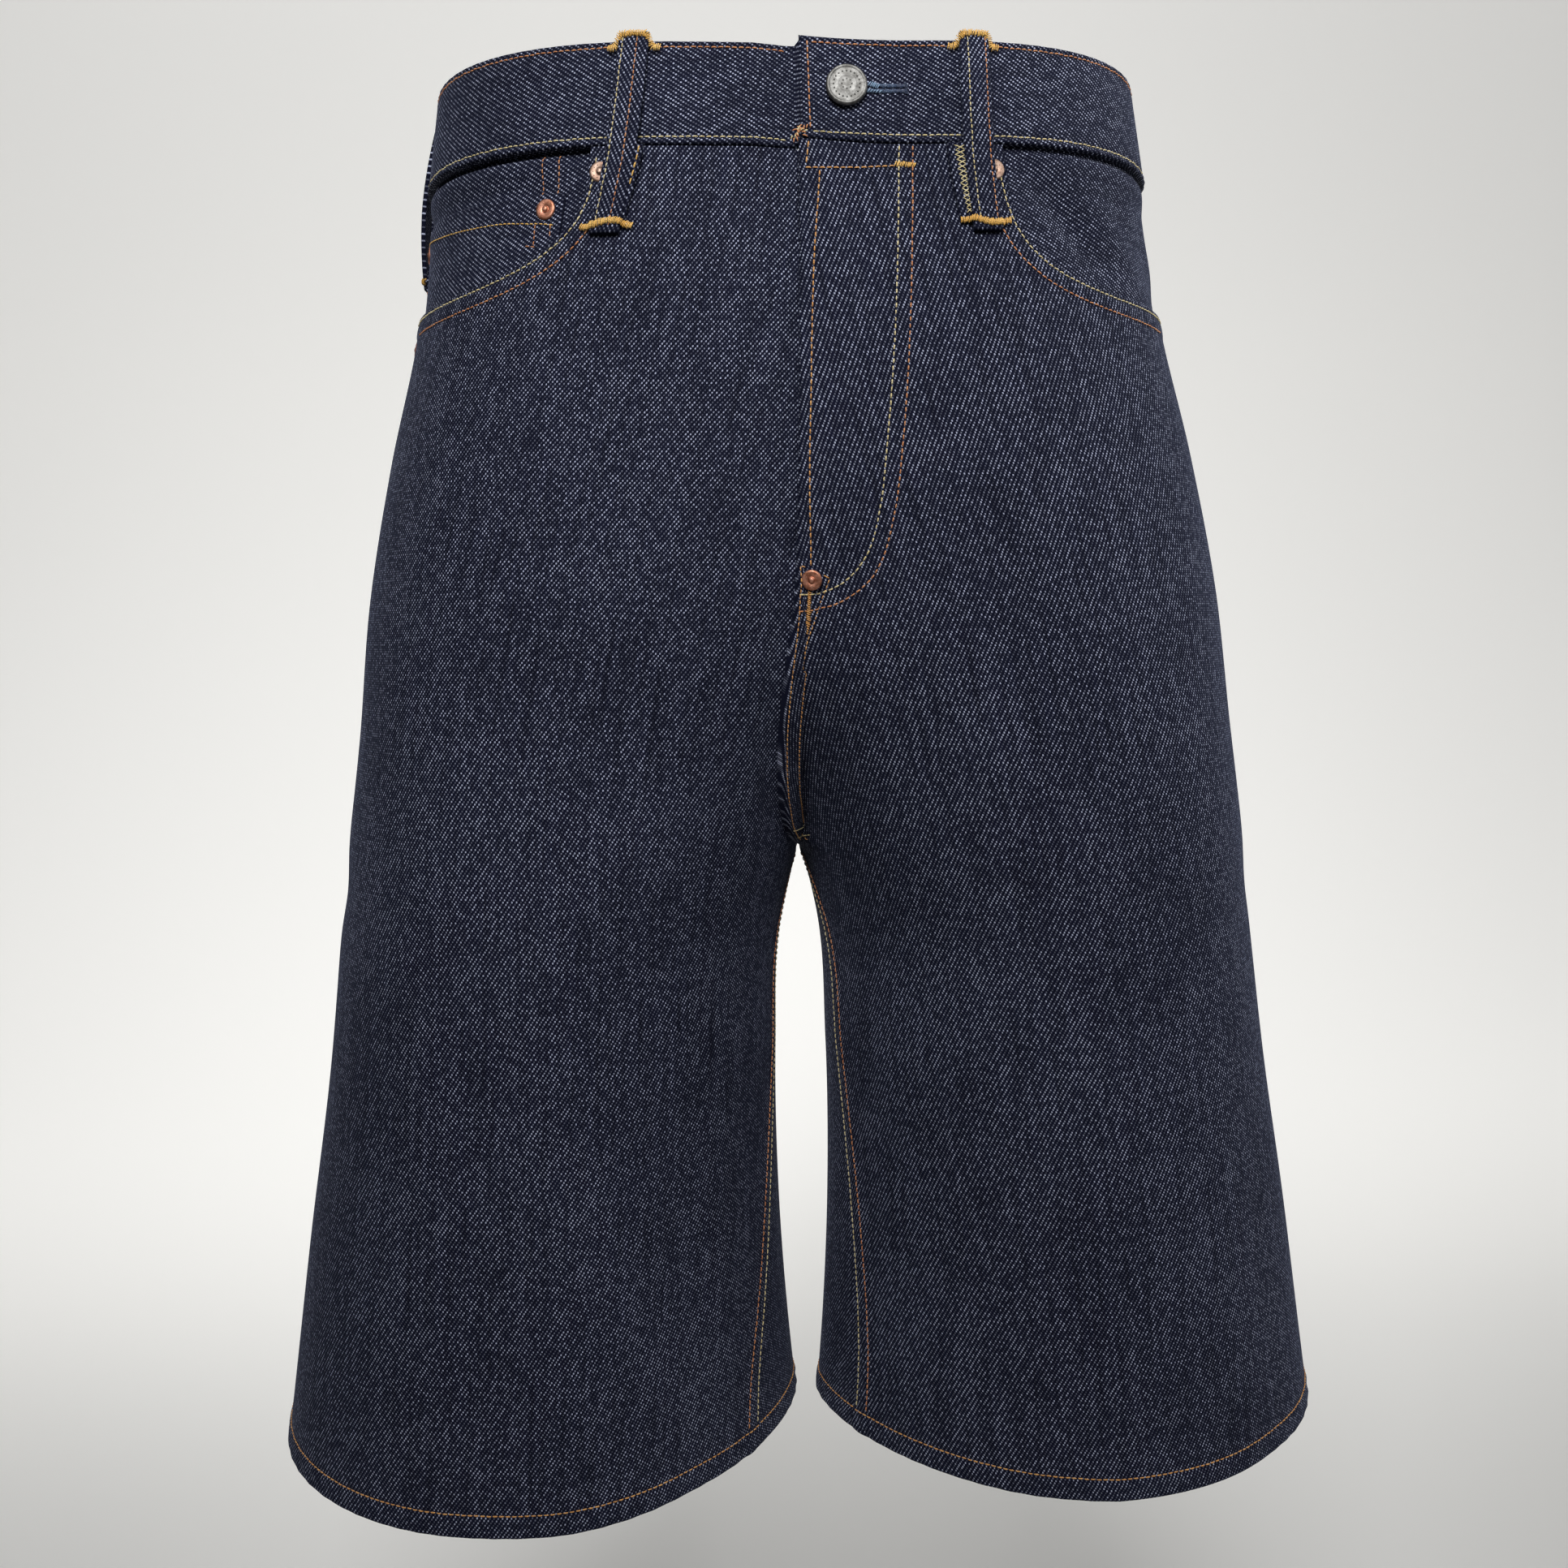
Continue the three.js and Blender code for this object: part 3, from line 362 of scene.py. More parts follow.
class Value:
    """A number on a node's output socket; Python's operators add Math nodes to its tree."""

    def __init__(self, board: "Board", socket: bpy.types.NodeSocket) -> None:
        """Keeps the board and the socket."""
        self.board = board
        self.socket = socket

    def _math(self, operation: str, *others: "Number") -> "Value":
        """This value first, then the others, through one Math node."""
        return self.board.math(operation, self, *others)

    def __add__(self, other: "Number") -> "Value":
        """Sum."""
        return self._math("ADD", other)

    __radd__ = __add__

    def __sub__(self, other: "Number") -> "Value":
        """Difference."""
        return self._math("SUBTRACT", other)

    def __rsub__(self, other: "Number") -> "Value":
        """Difference, from a plain number."""
        return self.board.math("SUBTRACT", other, self)

    def __mul__(self, other: "Number") -> "Value":
        """Product."""
        return self._math("MULTIPLY", other)

    __rmul__ = __mul__

    def __truediv__(self, other: "Number") -> "Value":
        """Quotient."""
        return self._math("DIVIDE", other)

    def __pow__(self, other: "Number") -> "Value":
        """Power."""
        return self._math("POWER", other)

    def __lt__(self, other: "Number") -> "Value":
        """1 where it is less, 0 elsewhere."""
        return self._math("LESS_THAN", other)

    def fract(self) -> "Value":
        """Part after the point."""
        return self._math("FRACT")

    def floor(self) -> "Value":
        """Whole part."""
        return self._math("FLOOR")

    def modulo(self, other: "Number") -> "Value":
        """Remainder from 0 up."""
        return self._math("FLOORED_MODULO", other)

    def sine(self) -> "Value":
        """Sine, in radians."""
        return self._math("SINE")

    def absolute(self) -> "Value":
        """Value without its sign."""
        return self._math("ABSOLUTE")

    def between(self, low: float, high: float) -> "Value":
        """Smooth step from 0 at low to 1 at high."""
        return self.board.node(
            "ShaderNodeMapRange",
            {"interpolation_type": "SMOOTHSTEP"},
            {"Value": self, "From Min": low, "From Max": high},
            "Result",
        )


Number = Union[Value, float]


class Board:
    """A material's node tree with a Principled shader on it."""

    def __init__(self, name: str) -> None:
        """Starts an empty tree with its shader and output."""
        self.material = bpy.data.materials.new(name)
        self.material.use_nodes = True
        self.tree = self.material.node_tree
        self.tree.nodes.clear()
        self.shader = self.tree.nodes.new("ShaderNodeBsdfPrincipled")
        output = self.tree.nodes.new("ShaderNodeOutputMaterial")
        self.tree.links.new(self.shader.outputs["BSDF"], output.inputs["Surface"])

    def feed(self, socket: bpy.types.NodeSocket, value: object) -> None:
        """Links a Value to a socket, or sets a plain number, colour or vector on it."""
        if isinstance(value, Value):
            self.tree.links.new(value.socket, socket)
        elif isinstance(value, (tuple, list)) and len(value) == 3 and socket.type == "RGBA":
            socket.default_value = (*value, 1.0)
        else:
            socket.default_value = value

    def node(self, kind: str, settings: dict, inputs: dict, output: Union[str, int] = 0) -> Value:
        """Adds any node.

        Args:
            kind: The node's type.
            settings: The node's own settings, set before its sockets.
            inputs: Values or links by the socket's name or number.
            output: Name or number of the socket to return.

        Returns:
            The chosen output.
        """
        node = self.tree.nodes.new(kind)
        for key, value in settings.items():
            setattr(node, key, value)
        for key, value in inputs.items():
            self.feed(node.inputs[key], value)
        return Value(self, node.outputs[output])

    def math(self, operation: str, *values: Number) -> Value:
        """One Math node with its values in order."""
        return self.node("ShaderNodeMath", {"operation": operation}, dict(enumerate(values)))

    def mix(self, share: Number, first: object, second: object) -> Value:
        """Colour between two colours."""
        settings = {"data_type": "RGBA"}
        return self.node("ShaderNodeMix", settings, {0: share, 6: first, 7: second}, 2)

    def joined(self, x: Number, y: Number, z: Number = 0.0) -> Value:
        """Vector from three numbers."""
        return self.node("ShaderNodeCombineXYZ", {}, {"X": x, "Y": y, "Z": z})

    def noise(self, vector: Value, scale: float, detail: float = 2.0, roughness: float = 0.5) -> Value:
        """Noise from 0 to 1 at a vector."""
        sockets = {"Vector": vector, "Scale": scale, "Detail": detail, "Roughness": roughness}
        return self.node("ShaderNodeTexNoise", {}, sockets, "Fac")

    def cloth_uv(self) -> tuple[Value, Value]:
        """The piece's own flat coordinates, in millimetres."""
        uv = self.node("ShaderNodeUVMap", {"uv_map": UV_NAME}, {}, "UV")
        split = self.tree.nodes.new("ShaderNodeSeparateXYZ")
        self.feed(split.inputs[0], uv)
        return Value(self, split.outputs[0]) * 1000.0, Value(self, split.outputs[1]) * 1000.0

    def object_place(self) -> Value:
        """Object coordinates, in metres."""
        return self.node("ShaderNodeTexCoord", {}, {}, "Object")

    def plan(self) -> tuple[Value, Value]:
        """Object coordinates' x and y, in metres."""
        split = self.tree.nodes.new("ShaderNodeSeparateXYZ")
        self.feed(split.inputs[0], self.object_place())
        return Value(self, split.outputs[0]), Value(self, split.outputs[1])

    def relief(self, height: Value, distance: float, strength: float = 1.0) -> None:
        """Puts a height, in units of distance metres, on the shader's normal."""
        sockets = {"Height": height, "Distance": distance, "Strength": strength}
        normal = self.node("ShaderNodeBump", {}, sockets, "Normal")
        self.feed(self.shader.inputs["Normal"], normal)

    def set(self, **sockets: object) -> None:
        """Sets or links the shader's sockets, with _ for a space in a name."""
        for name, value in sockets.items():
            self.feed(self.shader.inputs[name.replace("_", " ")], value)


UV_NAME = "Cloth"
Colour = tuple[float, float, float]


class Grain(Enum):
    """How a piece was laid on the cloth when it was cut: the twill's turn, in degrees."""

    ALONG = 0.0
    ACROSS = 90.0


class ClothSide(Enum):
    """Which face of the denim shows."""

    FACE = "face"
    BACK = "back"


@dataclass(frozen=True)
class Denim:
    """Raw right-hand twill: indigo warp over a pale weft that shows as short dashes in steep lines.

    The cloth's cells are one warp yarn wide and one weft yarn high. The weft shows in each cell where the
    count across less the count up is a multiple of the repeat, and each dash has its own brightness.
    """

    name: str
    grain: Grain = Grain.ALONG
    shown: ClothSide = ClothSide.FACE
    warp: Colour = (0.0038, 0.0046, 0.0138)
    weft: Colour = (0.37, 0.398, 0.52)
    warp_pitch: float = 0.62
    weft_pitch: float = 1.0
    repeat: int = 3
    slub: float = 1.0

    def build(self) -> bpy.types.Material:
        """Makes the material."""
        board = Board(self.name)
        across, up = board.cloth_uv()
        turn = np.radians(self.grain.value)
        along_weft = across * float(np.cos(turn)) + up * float(np.sin(turn))
        along_warp = up * float(np.cos(turn)) - across * float(np.sin(turn))
        wander = board.noise(board.joined(along_weft / 9.0, along_warp / 40.0), 1.0, 1.0)
        a = (along_weft + (wander - 0.5) * 0.9) / self.warp_pitch
        b = along_warp / self.weft_pitch
        cell_a, cell_b = a.floor(), b.floor()
        shows = (cell_a - cell_b).modulo(float(self.repeat)) < 0.5
        if self.shown is ClothSide.BACK:
            shows = 1.0 - shows
        in_a, in_b = (a.fract() - 0.5).absolute(), (b.fract() - 0.5).absolute()
        dash = (1.0 - in_a.between(0.26, 0.62)) * (1.0 - in_b.between(0.16, 0.5))
        cell = board.joined(cell_a, cell_b)
        chance = board.node("ShaderNodeTexWhiteNoise", {"noise_dimensions": "2D"}, {"Vector": cell}, "Value")
        patches = board.noise(board.joined(along_weft / 11.0, along_warp / 26.0), 1.0, 3.0)
        streaks = board.noise(board.joined(along_weft / 2.4, along_warp / 80.0), 1.0, 3.0, 0.65)
        weft_streaks = board.noise(board.joined(along_weft / 60.0, along_warp / 1.5, 3.1), 1.0, 2.0)
        broad = board.noise(board.object_place(), 11.0, 2.0)
        tone = (streaks - 0.5) * (2.2 * self.slub) + (weft_streaks - 0.5) * 0.5 + (patches - 0.5) * 0.8
        tone = tone + (broad - 0.5) * 0.9
        strength = (0.17 + chance * chance * 1.2) * held_value(1.0 + tone, 0.3, 2.2)
        weft_seen = held_value(shows * dash * strength, 0.0, 1.0)
        ground = board.mix(held_value(0.45 + tone * 0.5, 0.0, 1.0), dim(self.warp, 0.55), dim(self.warp, 1.75))
        if self.shown is ClothSide.BACK:
            weft_seen = shows * dash * (0.5 + chance * 0.35) + 0.12
        board.set(
            Base_Color=board.mix(weft_seen, ground, self.weft),
            Roughness=0.88,
            Specular_IOR_Level=0.08,
            Sheen_Weight=0.05,
            Sheen_Roughness=0.45,
            Sheen_Tint=(0.45, 0.55, 1.0),
        )
        yarn = (a * (2 * np.pi)).sine() * 0.2 + shows * dash * 0.35 + streaks * 0.4
        board.relief(yarn, 0.0002, 0.35)
        return board.material


def dim(colour: Colour, share: float) -> Colour:
    """A colour with each channel multiplied."""
    return tuple(channel * share for channel in colour)


def held_value(value: Value, low: float, high: float) -> Value:
    """A node value held between two limits."""
    return value.board.node("ShaderNodeClamp", {}, {"Value": value, "Min": low, "Max": high})


@dataclass(frozen=True)
class Thread:
    """Core-spun sewing thread with its twist showing as slanting ridges."""

    name: str
    colour: Colour
    fleck: Colour
    roughness: float = 0.55
    twist: float = 0.85

    def build(self) -> bpy.types.Material:
        """Makes the material."""
        board = Board(self.name)
        along, around = board.cloth_uv()
        ply = ((along / self.twist + around) * (2 * np.pi)).sine() * 0.5 + 0.5
        drift = board.noise(board.object_place(), 140.0, 2.0)
        shade = board.mix(drift.between(0.35, 0.75), self.colour, self.fleck)
        board.set(
            Base_Color=board.mix(ply * 0.4, shade, dim(self.colour, 0.45)),
            Roughness=self.roughness,
            Sheen_Weight=0.2,
            Sheen_Roughness=0.4,
        )
        board.relief(ply, 0.00012, 0.6)
        return board.material


@dataclass(frozen=True)
class Metal:
    """Struck trim metal with tarnish in its low places and fine wear marks."""

    name: str
    colour: Colour
    tarnish: Colour
    roughness: float
    mark_scale: float = 1600.0

    def build(self) -> bpy.types.Material:
        """Makes the material."""
        board = Board(self.name)
        place = board.object_place()
        stain = board.noise(place, 420.0, 4.0, 0.6)
        marks = board.noise(place, self.mark_scale, 3.0, 0.6)
        worn = stain.between(0.38, 0.66)
        board.set(
            Base_Color=board.mix(worn, self.tarnish, self.colour),
            Metallic=1.0,
            Roughness=self.roughness + marks * 0.22 - 0.08,
        )
        board.relief(marks + stain * 0.6, 0.00008, 0.5)
        return board.material


LEMON = Thread("thread_lemon", (0.62, 0.50, 0.24), (0.78, 0.68, 0.40))
COPPER_THREAD = Thread("thread_copper", (0.52, 0.19, 0.065), (0.66, 0.29, 0.11))
ORANGE = Thread("thread_orange", (0.60, 0.27, 0.07), (0.72, 0.38, 0.12))
GOLD = Thread("thread_gold", (0.70, 0.38, 0.07), (0.82, 0.52, 0.14))
BUTTONHOLE_BLUE = Thread("thread_blue", (0.018, 0.03, 0.075), (0.05, 0.09, 0.17))
PALE_BLUE = Thread("thread_pale_blue", (0.16, 0.27, 0.42), (0.26, 0.38, 0.52))

LEG_DENIM = Denim("denim_leg")
CROSS_DENIM = Denim("denim_cross", Grain.ACROSS, slub=0.7)
LOOP_DENIM = Denim("denim_loop", Grain.ALONG, slub=0.6)
DENIM_BACK = Denim("denim_back", Grain.ALONG, ClothSide.BACK)
RIVET_COPPER = Metal("rivet_copper", (0.72, 0.36, 0.25), (0.42, 0.17, 0.10), 0.5)
RIVET_PALE = Metal("rivet_pale", (0.46, 0.33, 0.26), (0.30, 0.19, 0.14), 0.5)
BUTTON_SILVER = Metal("button_silver", (0.25, 0.247, 0.237), (0.13, 0.127, 0.12), 0.55, 900.0)


class Finishes:
    """Each finish's material, made once."""

    made: dict[str, bpy.types.Material] = {}

    @classmethod
    def of(cls, finish: Union[Denim, Thread, Metal]) -> bpy.types.Material:
        """The material of a finish."""
        if finish.name not in cls.made:
            cls.made[finish.name] = finish.build()
        return cls.made[finish.name]


# Meshes


@dataclass
class MeshParts:
    """Arrays that make one mesh: points and their flat coordinates in millimetres, faces and slot numbers."""

    points: list[Array] = field(default_factory=list)
    flats: list[Array] = field(default_factory=list)
    quads: list[Array] = field(default_factory=list)
    slots: list[Array] = field(default_factory=list)
    count: int = 0

    def take(self, points: Array, flats: Array, quads: Array, slots: Union[int, Array] = 0) -> None:
        """Adds points with quads that count from the first of them; a quad may repeat its last corner."""
        self.points.append(points.reshape(-1, 3))
        self.flats.append(flats.reshape(-1, 2))
        self.quads.append(quads + self.count)
        self.slots.append(np.broadcast_to(np.asarray(slots), (len(quads),)))
        self.count += self.points[-1].shape[0]

    def join(self, other: "MeshParts") -> None:
        """Adds another mesh's arrays."""
        for points, flats, quads, slots in zip(other.points, other.flats, other.quads, other.slots):
            self.take(points, flats, quads, slots)

    def volume(self) -> float:
        """Signed volume of the closed mesh, above 0 when its faces point out."""
        p, q = np.concatenate(self.points), np.concatenate(self.quads)
        total = 0.0
        for b, c in ((1, 2), (2, 3)):
            total += np.einsum("ij,ij->i", p[q[:, 0]], np.cross(p[q[:, b]], p[q[:, c]])).sum()
        return total / 6


def make_piece(name: str, parts: MeshParts, finishes: Sequence, sharp: float = 55.0) -> bpy.types.Object:
    """Makes a mesh object from arrays.

    Args:
        name: The piece's name.
        parts: The arrays; the faces are turned if the volume says that they point in.
        finishes: One finish for each slot number.
        sharp: Degrees between faces from which their edge stays sharp.

    Returns:
        The object, at the origin.
    """
    points = np.concatenate(parts.points) * METRE
    flats = np.concatenate(parts.flats) * METRE
    quads = np.concatenate(parts.quads)
    slots = np.concatenate(parts.slots)
    if parts.volume() < 0:
        quads = quads[:, ::-1]
    three = (quads[:, 0] == quads[:, 1]) | (quads[:, 2] == quads[:, 3])
    corner_count = np.where(three, 3, 4)
    keep = np.ones_like(quads, bool)
    keep[:, 1] = quads[:, 0] != quads[:, 1]
    keep[:, 3] = quads[:, 2] != quads[:, 3]
    corners = quads[keep]
    mesh = bpy.data.meshes.new(name)
    mesh.vertices.add(len(points))
    mesh.vertices.foreach_set("co", points.astype(np.float32).ravel())
    mesh.loops.add(len(corners))
    mesh.loops.foreach_set("vertex_index", corners.astype(np.int32))
    mesh.polygons.add(len(quads))
    starts = np.concatenate([[0], np.cumsum(corner_count)[:-1]])
    mesh.polygons.foreach_set("loop_start", starts.astype(np.int32))
    mesh.polygons.foreach_set("material_index", slots.astype(np.int32))
    layer = mesh.uv_layers.new(name=UV_NAME)
    layer.data.foreach_set("uv", flats[corners].astype(np.float32).ravel())
    mesh.update(calc_edges=True)
    mesh.polygons.foreach_set("use_smooth", np.ones(len(quads), bool))
    mesh.set_sharp_from_angle(angle=np.radians(sharp))
    for finish in finishes:
        mesh.materials.append(Finishes.of(finish))
    piece = bpy.data.objects.new(name, mesh)
    bpy.context.scene.collection.objects.link(piece)
    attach(piece, "root")
    return piece


def grid_quads(rows: int, columns: int) -> Array:
    """Quads of a grid of points in rows."""
    i, j = np.meshgrid(np.arange(rows - 1), np.arange(columns - 1), indexing="ij")
    first = (i * columns + j).ravel()
    return np.stack([first, first + columns, first + columns + 1, first + 1], -1)


def ring_quads(rings: int, sides: int) -> Array:
    """Quads between rings of points that follow each other."""
    i, k = np.meshgrid(np.arange(rings - 1) * sides, np.arange(sides), indexing="ij")
    following = (k + 1) % sides
    return np.stack([i + k, i + following, i + sides + following, i + sides + k], -1).reshape(-1, 4)


def rim_quads(rows: int, columns: int) -> Array:
    """Quads that close the four sides between an outer grid and the inner grid that follows it."""
    top = np.arange(columns)
    bottom = top + (rows - 1) * columns
    left = np.arange(rows) * columns
    right = left + columns - 1
    ring = np.concatenate([left, bottom[1:], right[::-1][1:], top[::-1][1:]])
    a, b = ring[:-1], ring[1:]
    inner = rows * columns
    return np.stack([a, inner + a, inner + b, b], -1)


def shell(outer: Array, inner: Array, flats: Array, back_slot: int = 1) -> MeshParts:
    """A closed wall between two grids of the same size, its inner faces in their own slot."""
    rows, columns = outer.shape[:2]
    quads = grid_quads(rows, columns)
    behind = quads[:, ::-1] + rows * columns
    rim = rim_quads(rows, columns)
    parts = MeshParts()
    slots = np.concatenate([np.zeros(len(quads)), np.full(len(behind), back_slot), np.zeros(len(rim))])
    both = np.concatenate([outer.reshape(-1, 3), inner.reshape(-1, 3)])
    parts.take(both, np.concatenate([flats.reshape(-1, 2)] * 2), np.concatenate([quads, behind, rim]), slots)
    return parts


def roll(distance: Array, radius: float) -> Array:
    """How far a face falls at a folded edge: a quarter circle of the radius, from the edge inwards."""
    inward = clamp(1 - distance / radius)
    return radius * (1 - np.sqrt(np.maximum(1 - inward * inward, 0)))


def flat_area(points: Array) -> float:
    """Area of a grid of points, in square metres."""
    a = points[1:, :-1] - points[:-1, :-1]
    b = points[:-1, 1:] - points[:-1, :-1]
    return float(np.linalg.norm(np.cross(a, b), axis=-1).sum()) * METRE * METRE


def spaced(first: float, last: float, step: float) -> Array:
    """Even numbers from first to last, about a step apart."""
    return np.linspace(first, last, max(2, int(round(abs(last - first) / step)) + 1))


# Stitching


class Measure(Enum):
    """What the second number of a line's knots is: a place, or a distance from the centre seam."""

    PLACE = "place"
    FRONT = "from the centre front"
    BACK = "from the centre back"


@dataclass(frozen=True)
class Line:
    """A line on one side's cloth, through knots of level and place or of level and distance."""

    side: int
    knots: tuple[tuple[float, float], ...]
    measure: Measure = Measure.PLACE

    def placed(self, level: Array, across: Array) -> Array:
        """Places for the knots' second numbers."""
        if self.measure is Measure.PLACE:
            return across
        place = FORM.signed_place(level, across)
        return TURN - place if self.measure is Measure.BACK else place

    def sampled(self, step: float = 0.5) -> tuple[Array, Array]:
        """Levels and places along a smooth curve through the knots, about a step apart."""
        level, across = np.array(self.knots, float).T
        station = lengths_along(FORM.face(self.side, level, self.placed(level, across)))
        at = np.linspace(0, station[-1], max(3, int(station[-1] / step)))
        curve = straight if len(level) == 2 else hermite
        level, across = curve(station, level, at), curve(station, across, at)
        return level, self.placed(level, across)


@dataclass(frozen=True)
class StitchKind:
    """Sizes of one machine's stitch."""

    pitch: float = 2.75
    share: float = 0.82
    width: float = 0.62
    height: float = 0.42
    seat: float = 0.12
    wander: float = 0.07


TOPSTITCH = StitchKind()
FINE_STITCH = StitchKind(pitch=2.3, share=0.78, width=0.5, height=0.34)
TACK_STITCH = StitchKind(pitch=1.0, share=1.0, width=0.55, height=0.5, seat=0.3, wander=0.1)
OVERLOCK = StitchKind(pitch=1.9, share=1.0, width=0.42, height=0.3, wander=0.1)


class Sewing:
    """Collects stitches by thread, and makes one piece for each name."""

    SECTIONS = (0.0, 0.2, 0.5, 0.8, 1.0)
    SWELL = (0.45, 0.95, 1.0, 0.95, 0.45)
    ARCH = (-0.7, 0.55, 1.0, 0.55, -0.7)
    SIDES = 6

    def __init__(self) -> None:
        """Starts with no stitches and a fixed row of random draws."""
        self.parts: dict[str, MeshParts] = {}
        self.threads: dict[str, Thread] = {}
        self.draws = np.random.default_rng(7)

    def run(self, name: str, thread: Thread, points: Array, normals: Array, kind: StitchKind) -> None:
        """Sews along a line of points.

        Args:
            name: The piece that the stitches join.
            thread: Its thread.
            points: Points on the cloth's face.
            normals: Unit directions out of the cloth.
            kind: The stitch's sizes.
        """
        station = lengths_along(points)
        count = max(1, int(station[-1] / kind.pitch))
        pitch = station[-1] / count
        start = (np.arange(count) + (1 - kind.share) / 2) * pitch
        end = start + pitch * kind.share
        ends = [read_rows(station, points, at) for at in (start, end)]
        self.loops(name, thread, ends, read_rows(station, normals, (start + end) / 2), kind)

    def draw(self, count: int) -> Array:
        """One random number from -1 to 1 for each stitch."""
        return self.draws.uniform(-1, 1, (count, 1, 1))

    def loops(self, name: str, thread: Thread, ends: Sequence[Array], normals: Array, kind: StitchKind) -> None:
        """Adds single stitches between pairs of points.

        Each stitch is a flattened tube of six sides that swells and arches between its two holes.

        Args:
            name: The piece that the stitches join.
            thread: Its thread.
            ends: The first and the last point of every stitch.
            normals: Unit directions out of the cloth, one for each stitch.
            kind: The stitch's sizes.
        """
        first, last = ends
        count = len(first)
        ahead = unit(last - first)
        across = unit(np.cross(normals, ahead))
        share = np.array(self.SECTIONS)[None, :, None]
        middle = first[:, None] * (1 - share) + last[:, None] * share
        lift = kind.seat + kind.height * np.array(self.ARCH)[None, :, None] * (1 + 0.25 * self.draw(count))
        sway = kind.wander * self.draw(count) + kind.wander * self.draw(count) * (share - 0.5)
        middle = middle + normals[:, None] * lift * 0.6 + across[:, None] * sway
        angle = np.arange(self.SIDES) / self.SIDES * 2 * np.pi
        radius = (kind.width / 2 * np.array(self.SWELL))[None, :, None, None]
        radius = radius * (1 + 0.12 * self.draw(count)[..., None])
        ring = across[:, None, None] * np.cos(angle)[None, None, :, None]
        ring = ring + normals[:, None, None] * (0.8 * np.sin(angle))[None, None, :, None]
        points = middle[:, :, None] + ring * radius
        sections, sides = len(self.SECTIONS), self.SIDES
        low = np.array([[3, 2, 1, 0], [5, 4, 3, 0]])
        quads = np.concatenate([ring_quads(sections, sides), low, low[:, ::-1] + (sections - 1) * sides])
        each = sections * sides
        all_quads = (quads[None] + (np.arange(count) * each)[:, None, None]).reshape(-1, 4)
        length = np.linalg.norm(last - first, axis=-1)
        along = (np.arange(count)[:, None] * kind.pitch + share[..., 0] * length[:, None])[:, :, None]
        around = (angle / (2 * np.pi))[None, None, :]
        flats = np.stack(np.broadcast_arrays(along, around), -1)
        self.parts.setdefault(name, MeshParts()).take(points, flats, all_quads)
        self.threads[name] = thread

    def on(self, name: str, thread: Thread, face: Face, line: Line, kind: StitchKind = TOPSTITCH) -> None:
        """Sews a line that lies on a piece's own face."""
        level, place = line.sampled()
        points = face(level, place)
        beside = face(level, place + 0.004) - face(level, place - 0.004)
        up = face(level + 0.4, place) - face(level - 0.4, place)
        normals = unit(np.cross(beside, up)) * line.side
        self.run(name, thread, points, normals, kind)

    def tack(self, name: str, thread: Thread, middle: Array, normals: Array, height: float, count: int) -> None:
        """Bar tack along a line: close stitches across it, back and forth, with uneven ends.

        Args:
            name: The piece that the stitches join.
            thread: Its thread.
            middle: Points along the tack.
            normals: Unit directions out of the cloth.
            height: The tack's width across its line.
            count: How many times the thread crosses.
        """
        station = lengths_along(middle)
        at = np.linspace(0, station[-1], count)
        points, out = read_rows(station, middle, at), unit(read_rows(station, normals, at))
        ahead = unit(np.gradient(points, axis=0))
        across = unit(np.cross(out, ahead))
        uneven = self.draws.uniform(0.75, 1.2, (2, count, 1)) * height / 2
        slant = ahead * station[-1] / count * 0.5
        ends = [points - across * uneven[0] - slant, points + across * uneven[1] + slant]
        self.loops(name, thread, ends, out, TACK_STITCH)

    def finish(self) -> None:
        """Makes the pieces."""
        for name, parts in self.parts.items():
            piece = make_piece(name, parts, [self.threads[name]], sharp=180.0)
            LOG.info("%s: %d faces", piece.name, len(piece.data.polygons))


SEWING = Sewing()


@dataclass
class Track:
    """A line on the flat cloth that relief is measured from."""

    flat: Array

    @classmethod
    def along(cls, line: Line, grain: float) -> "Track":
        """The track of a stitched line or an edge."""
        level, place = line.sampled(2.0)
        return cls(CLOTH_MAPS[(line.side, grain)].flat(level, place))

    def reach(self, flat: Array) -> tuple[Array, Array]:
        """Distance to the line and how far along it, from the nearest of its straight steps."""
        a, b = self.flat[:-1], self.flat[1:]
        step = b - a
        square = np.maximum((step**2).sum(-1), 1e-9)
        start = lengths_along(self.flat)[:-1]
        near, along = [], []
        for block in np.array_split(flat.reshape(-1, 2), max(1, flat.size // 30000)):
            gap = block[:, None] - a[None]
            share = clamp((gap * step).sum(-1) / square)
            distance = np.linalg.norm(gap - share[..., None] * step, axis=-1)
            best = distance.argmin(axis=1)
            row = np.arange(len(block))
            near.append(distance[row, best])
            along.append(start[best] + share[row, best] * np.sqrt(square[best]))
        shape = flat.shape[:-1]
        return np.concatenate(near).reshape(shape), np.concatenate(along).reshape(shape)

    def groove(self, flat: Array, depth: float = 0.32, width: float = 1.3) -> Array:
        """Trough that the thread pulls into the cloth: minus a bell of the distance."""
        distance, _ = self.reach(flat)
        return -depth * bump(distance, width)

    def pucker(self, flat: Array, height: float, pitch: float, width: float, beside: float) -> Array:
        """Waves that cross a seam: a sine along the line, with a second slower one, fading with distance."""
        distance, along = self.reach(flat)
        wave = np.sin(along * 2 * np.pi / pitch) + 0.6 * np.sin(along * 2 * np.pi / (pitch * 2.37) + 1.3)
        return height * wave * bump(distance - beside, width)


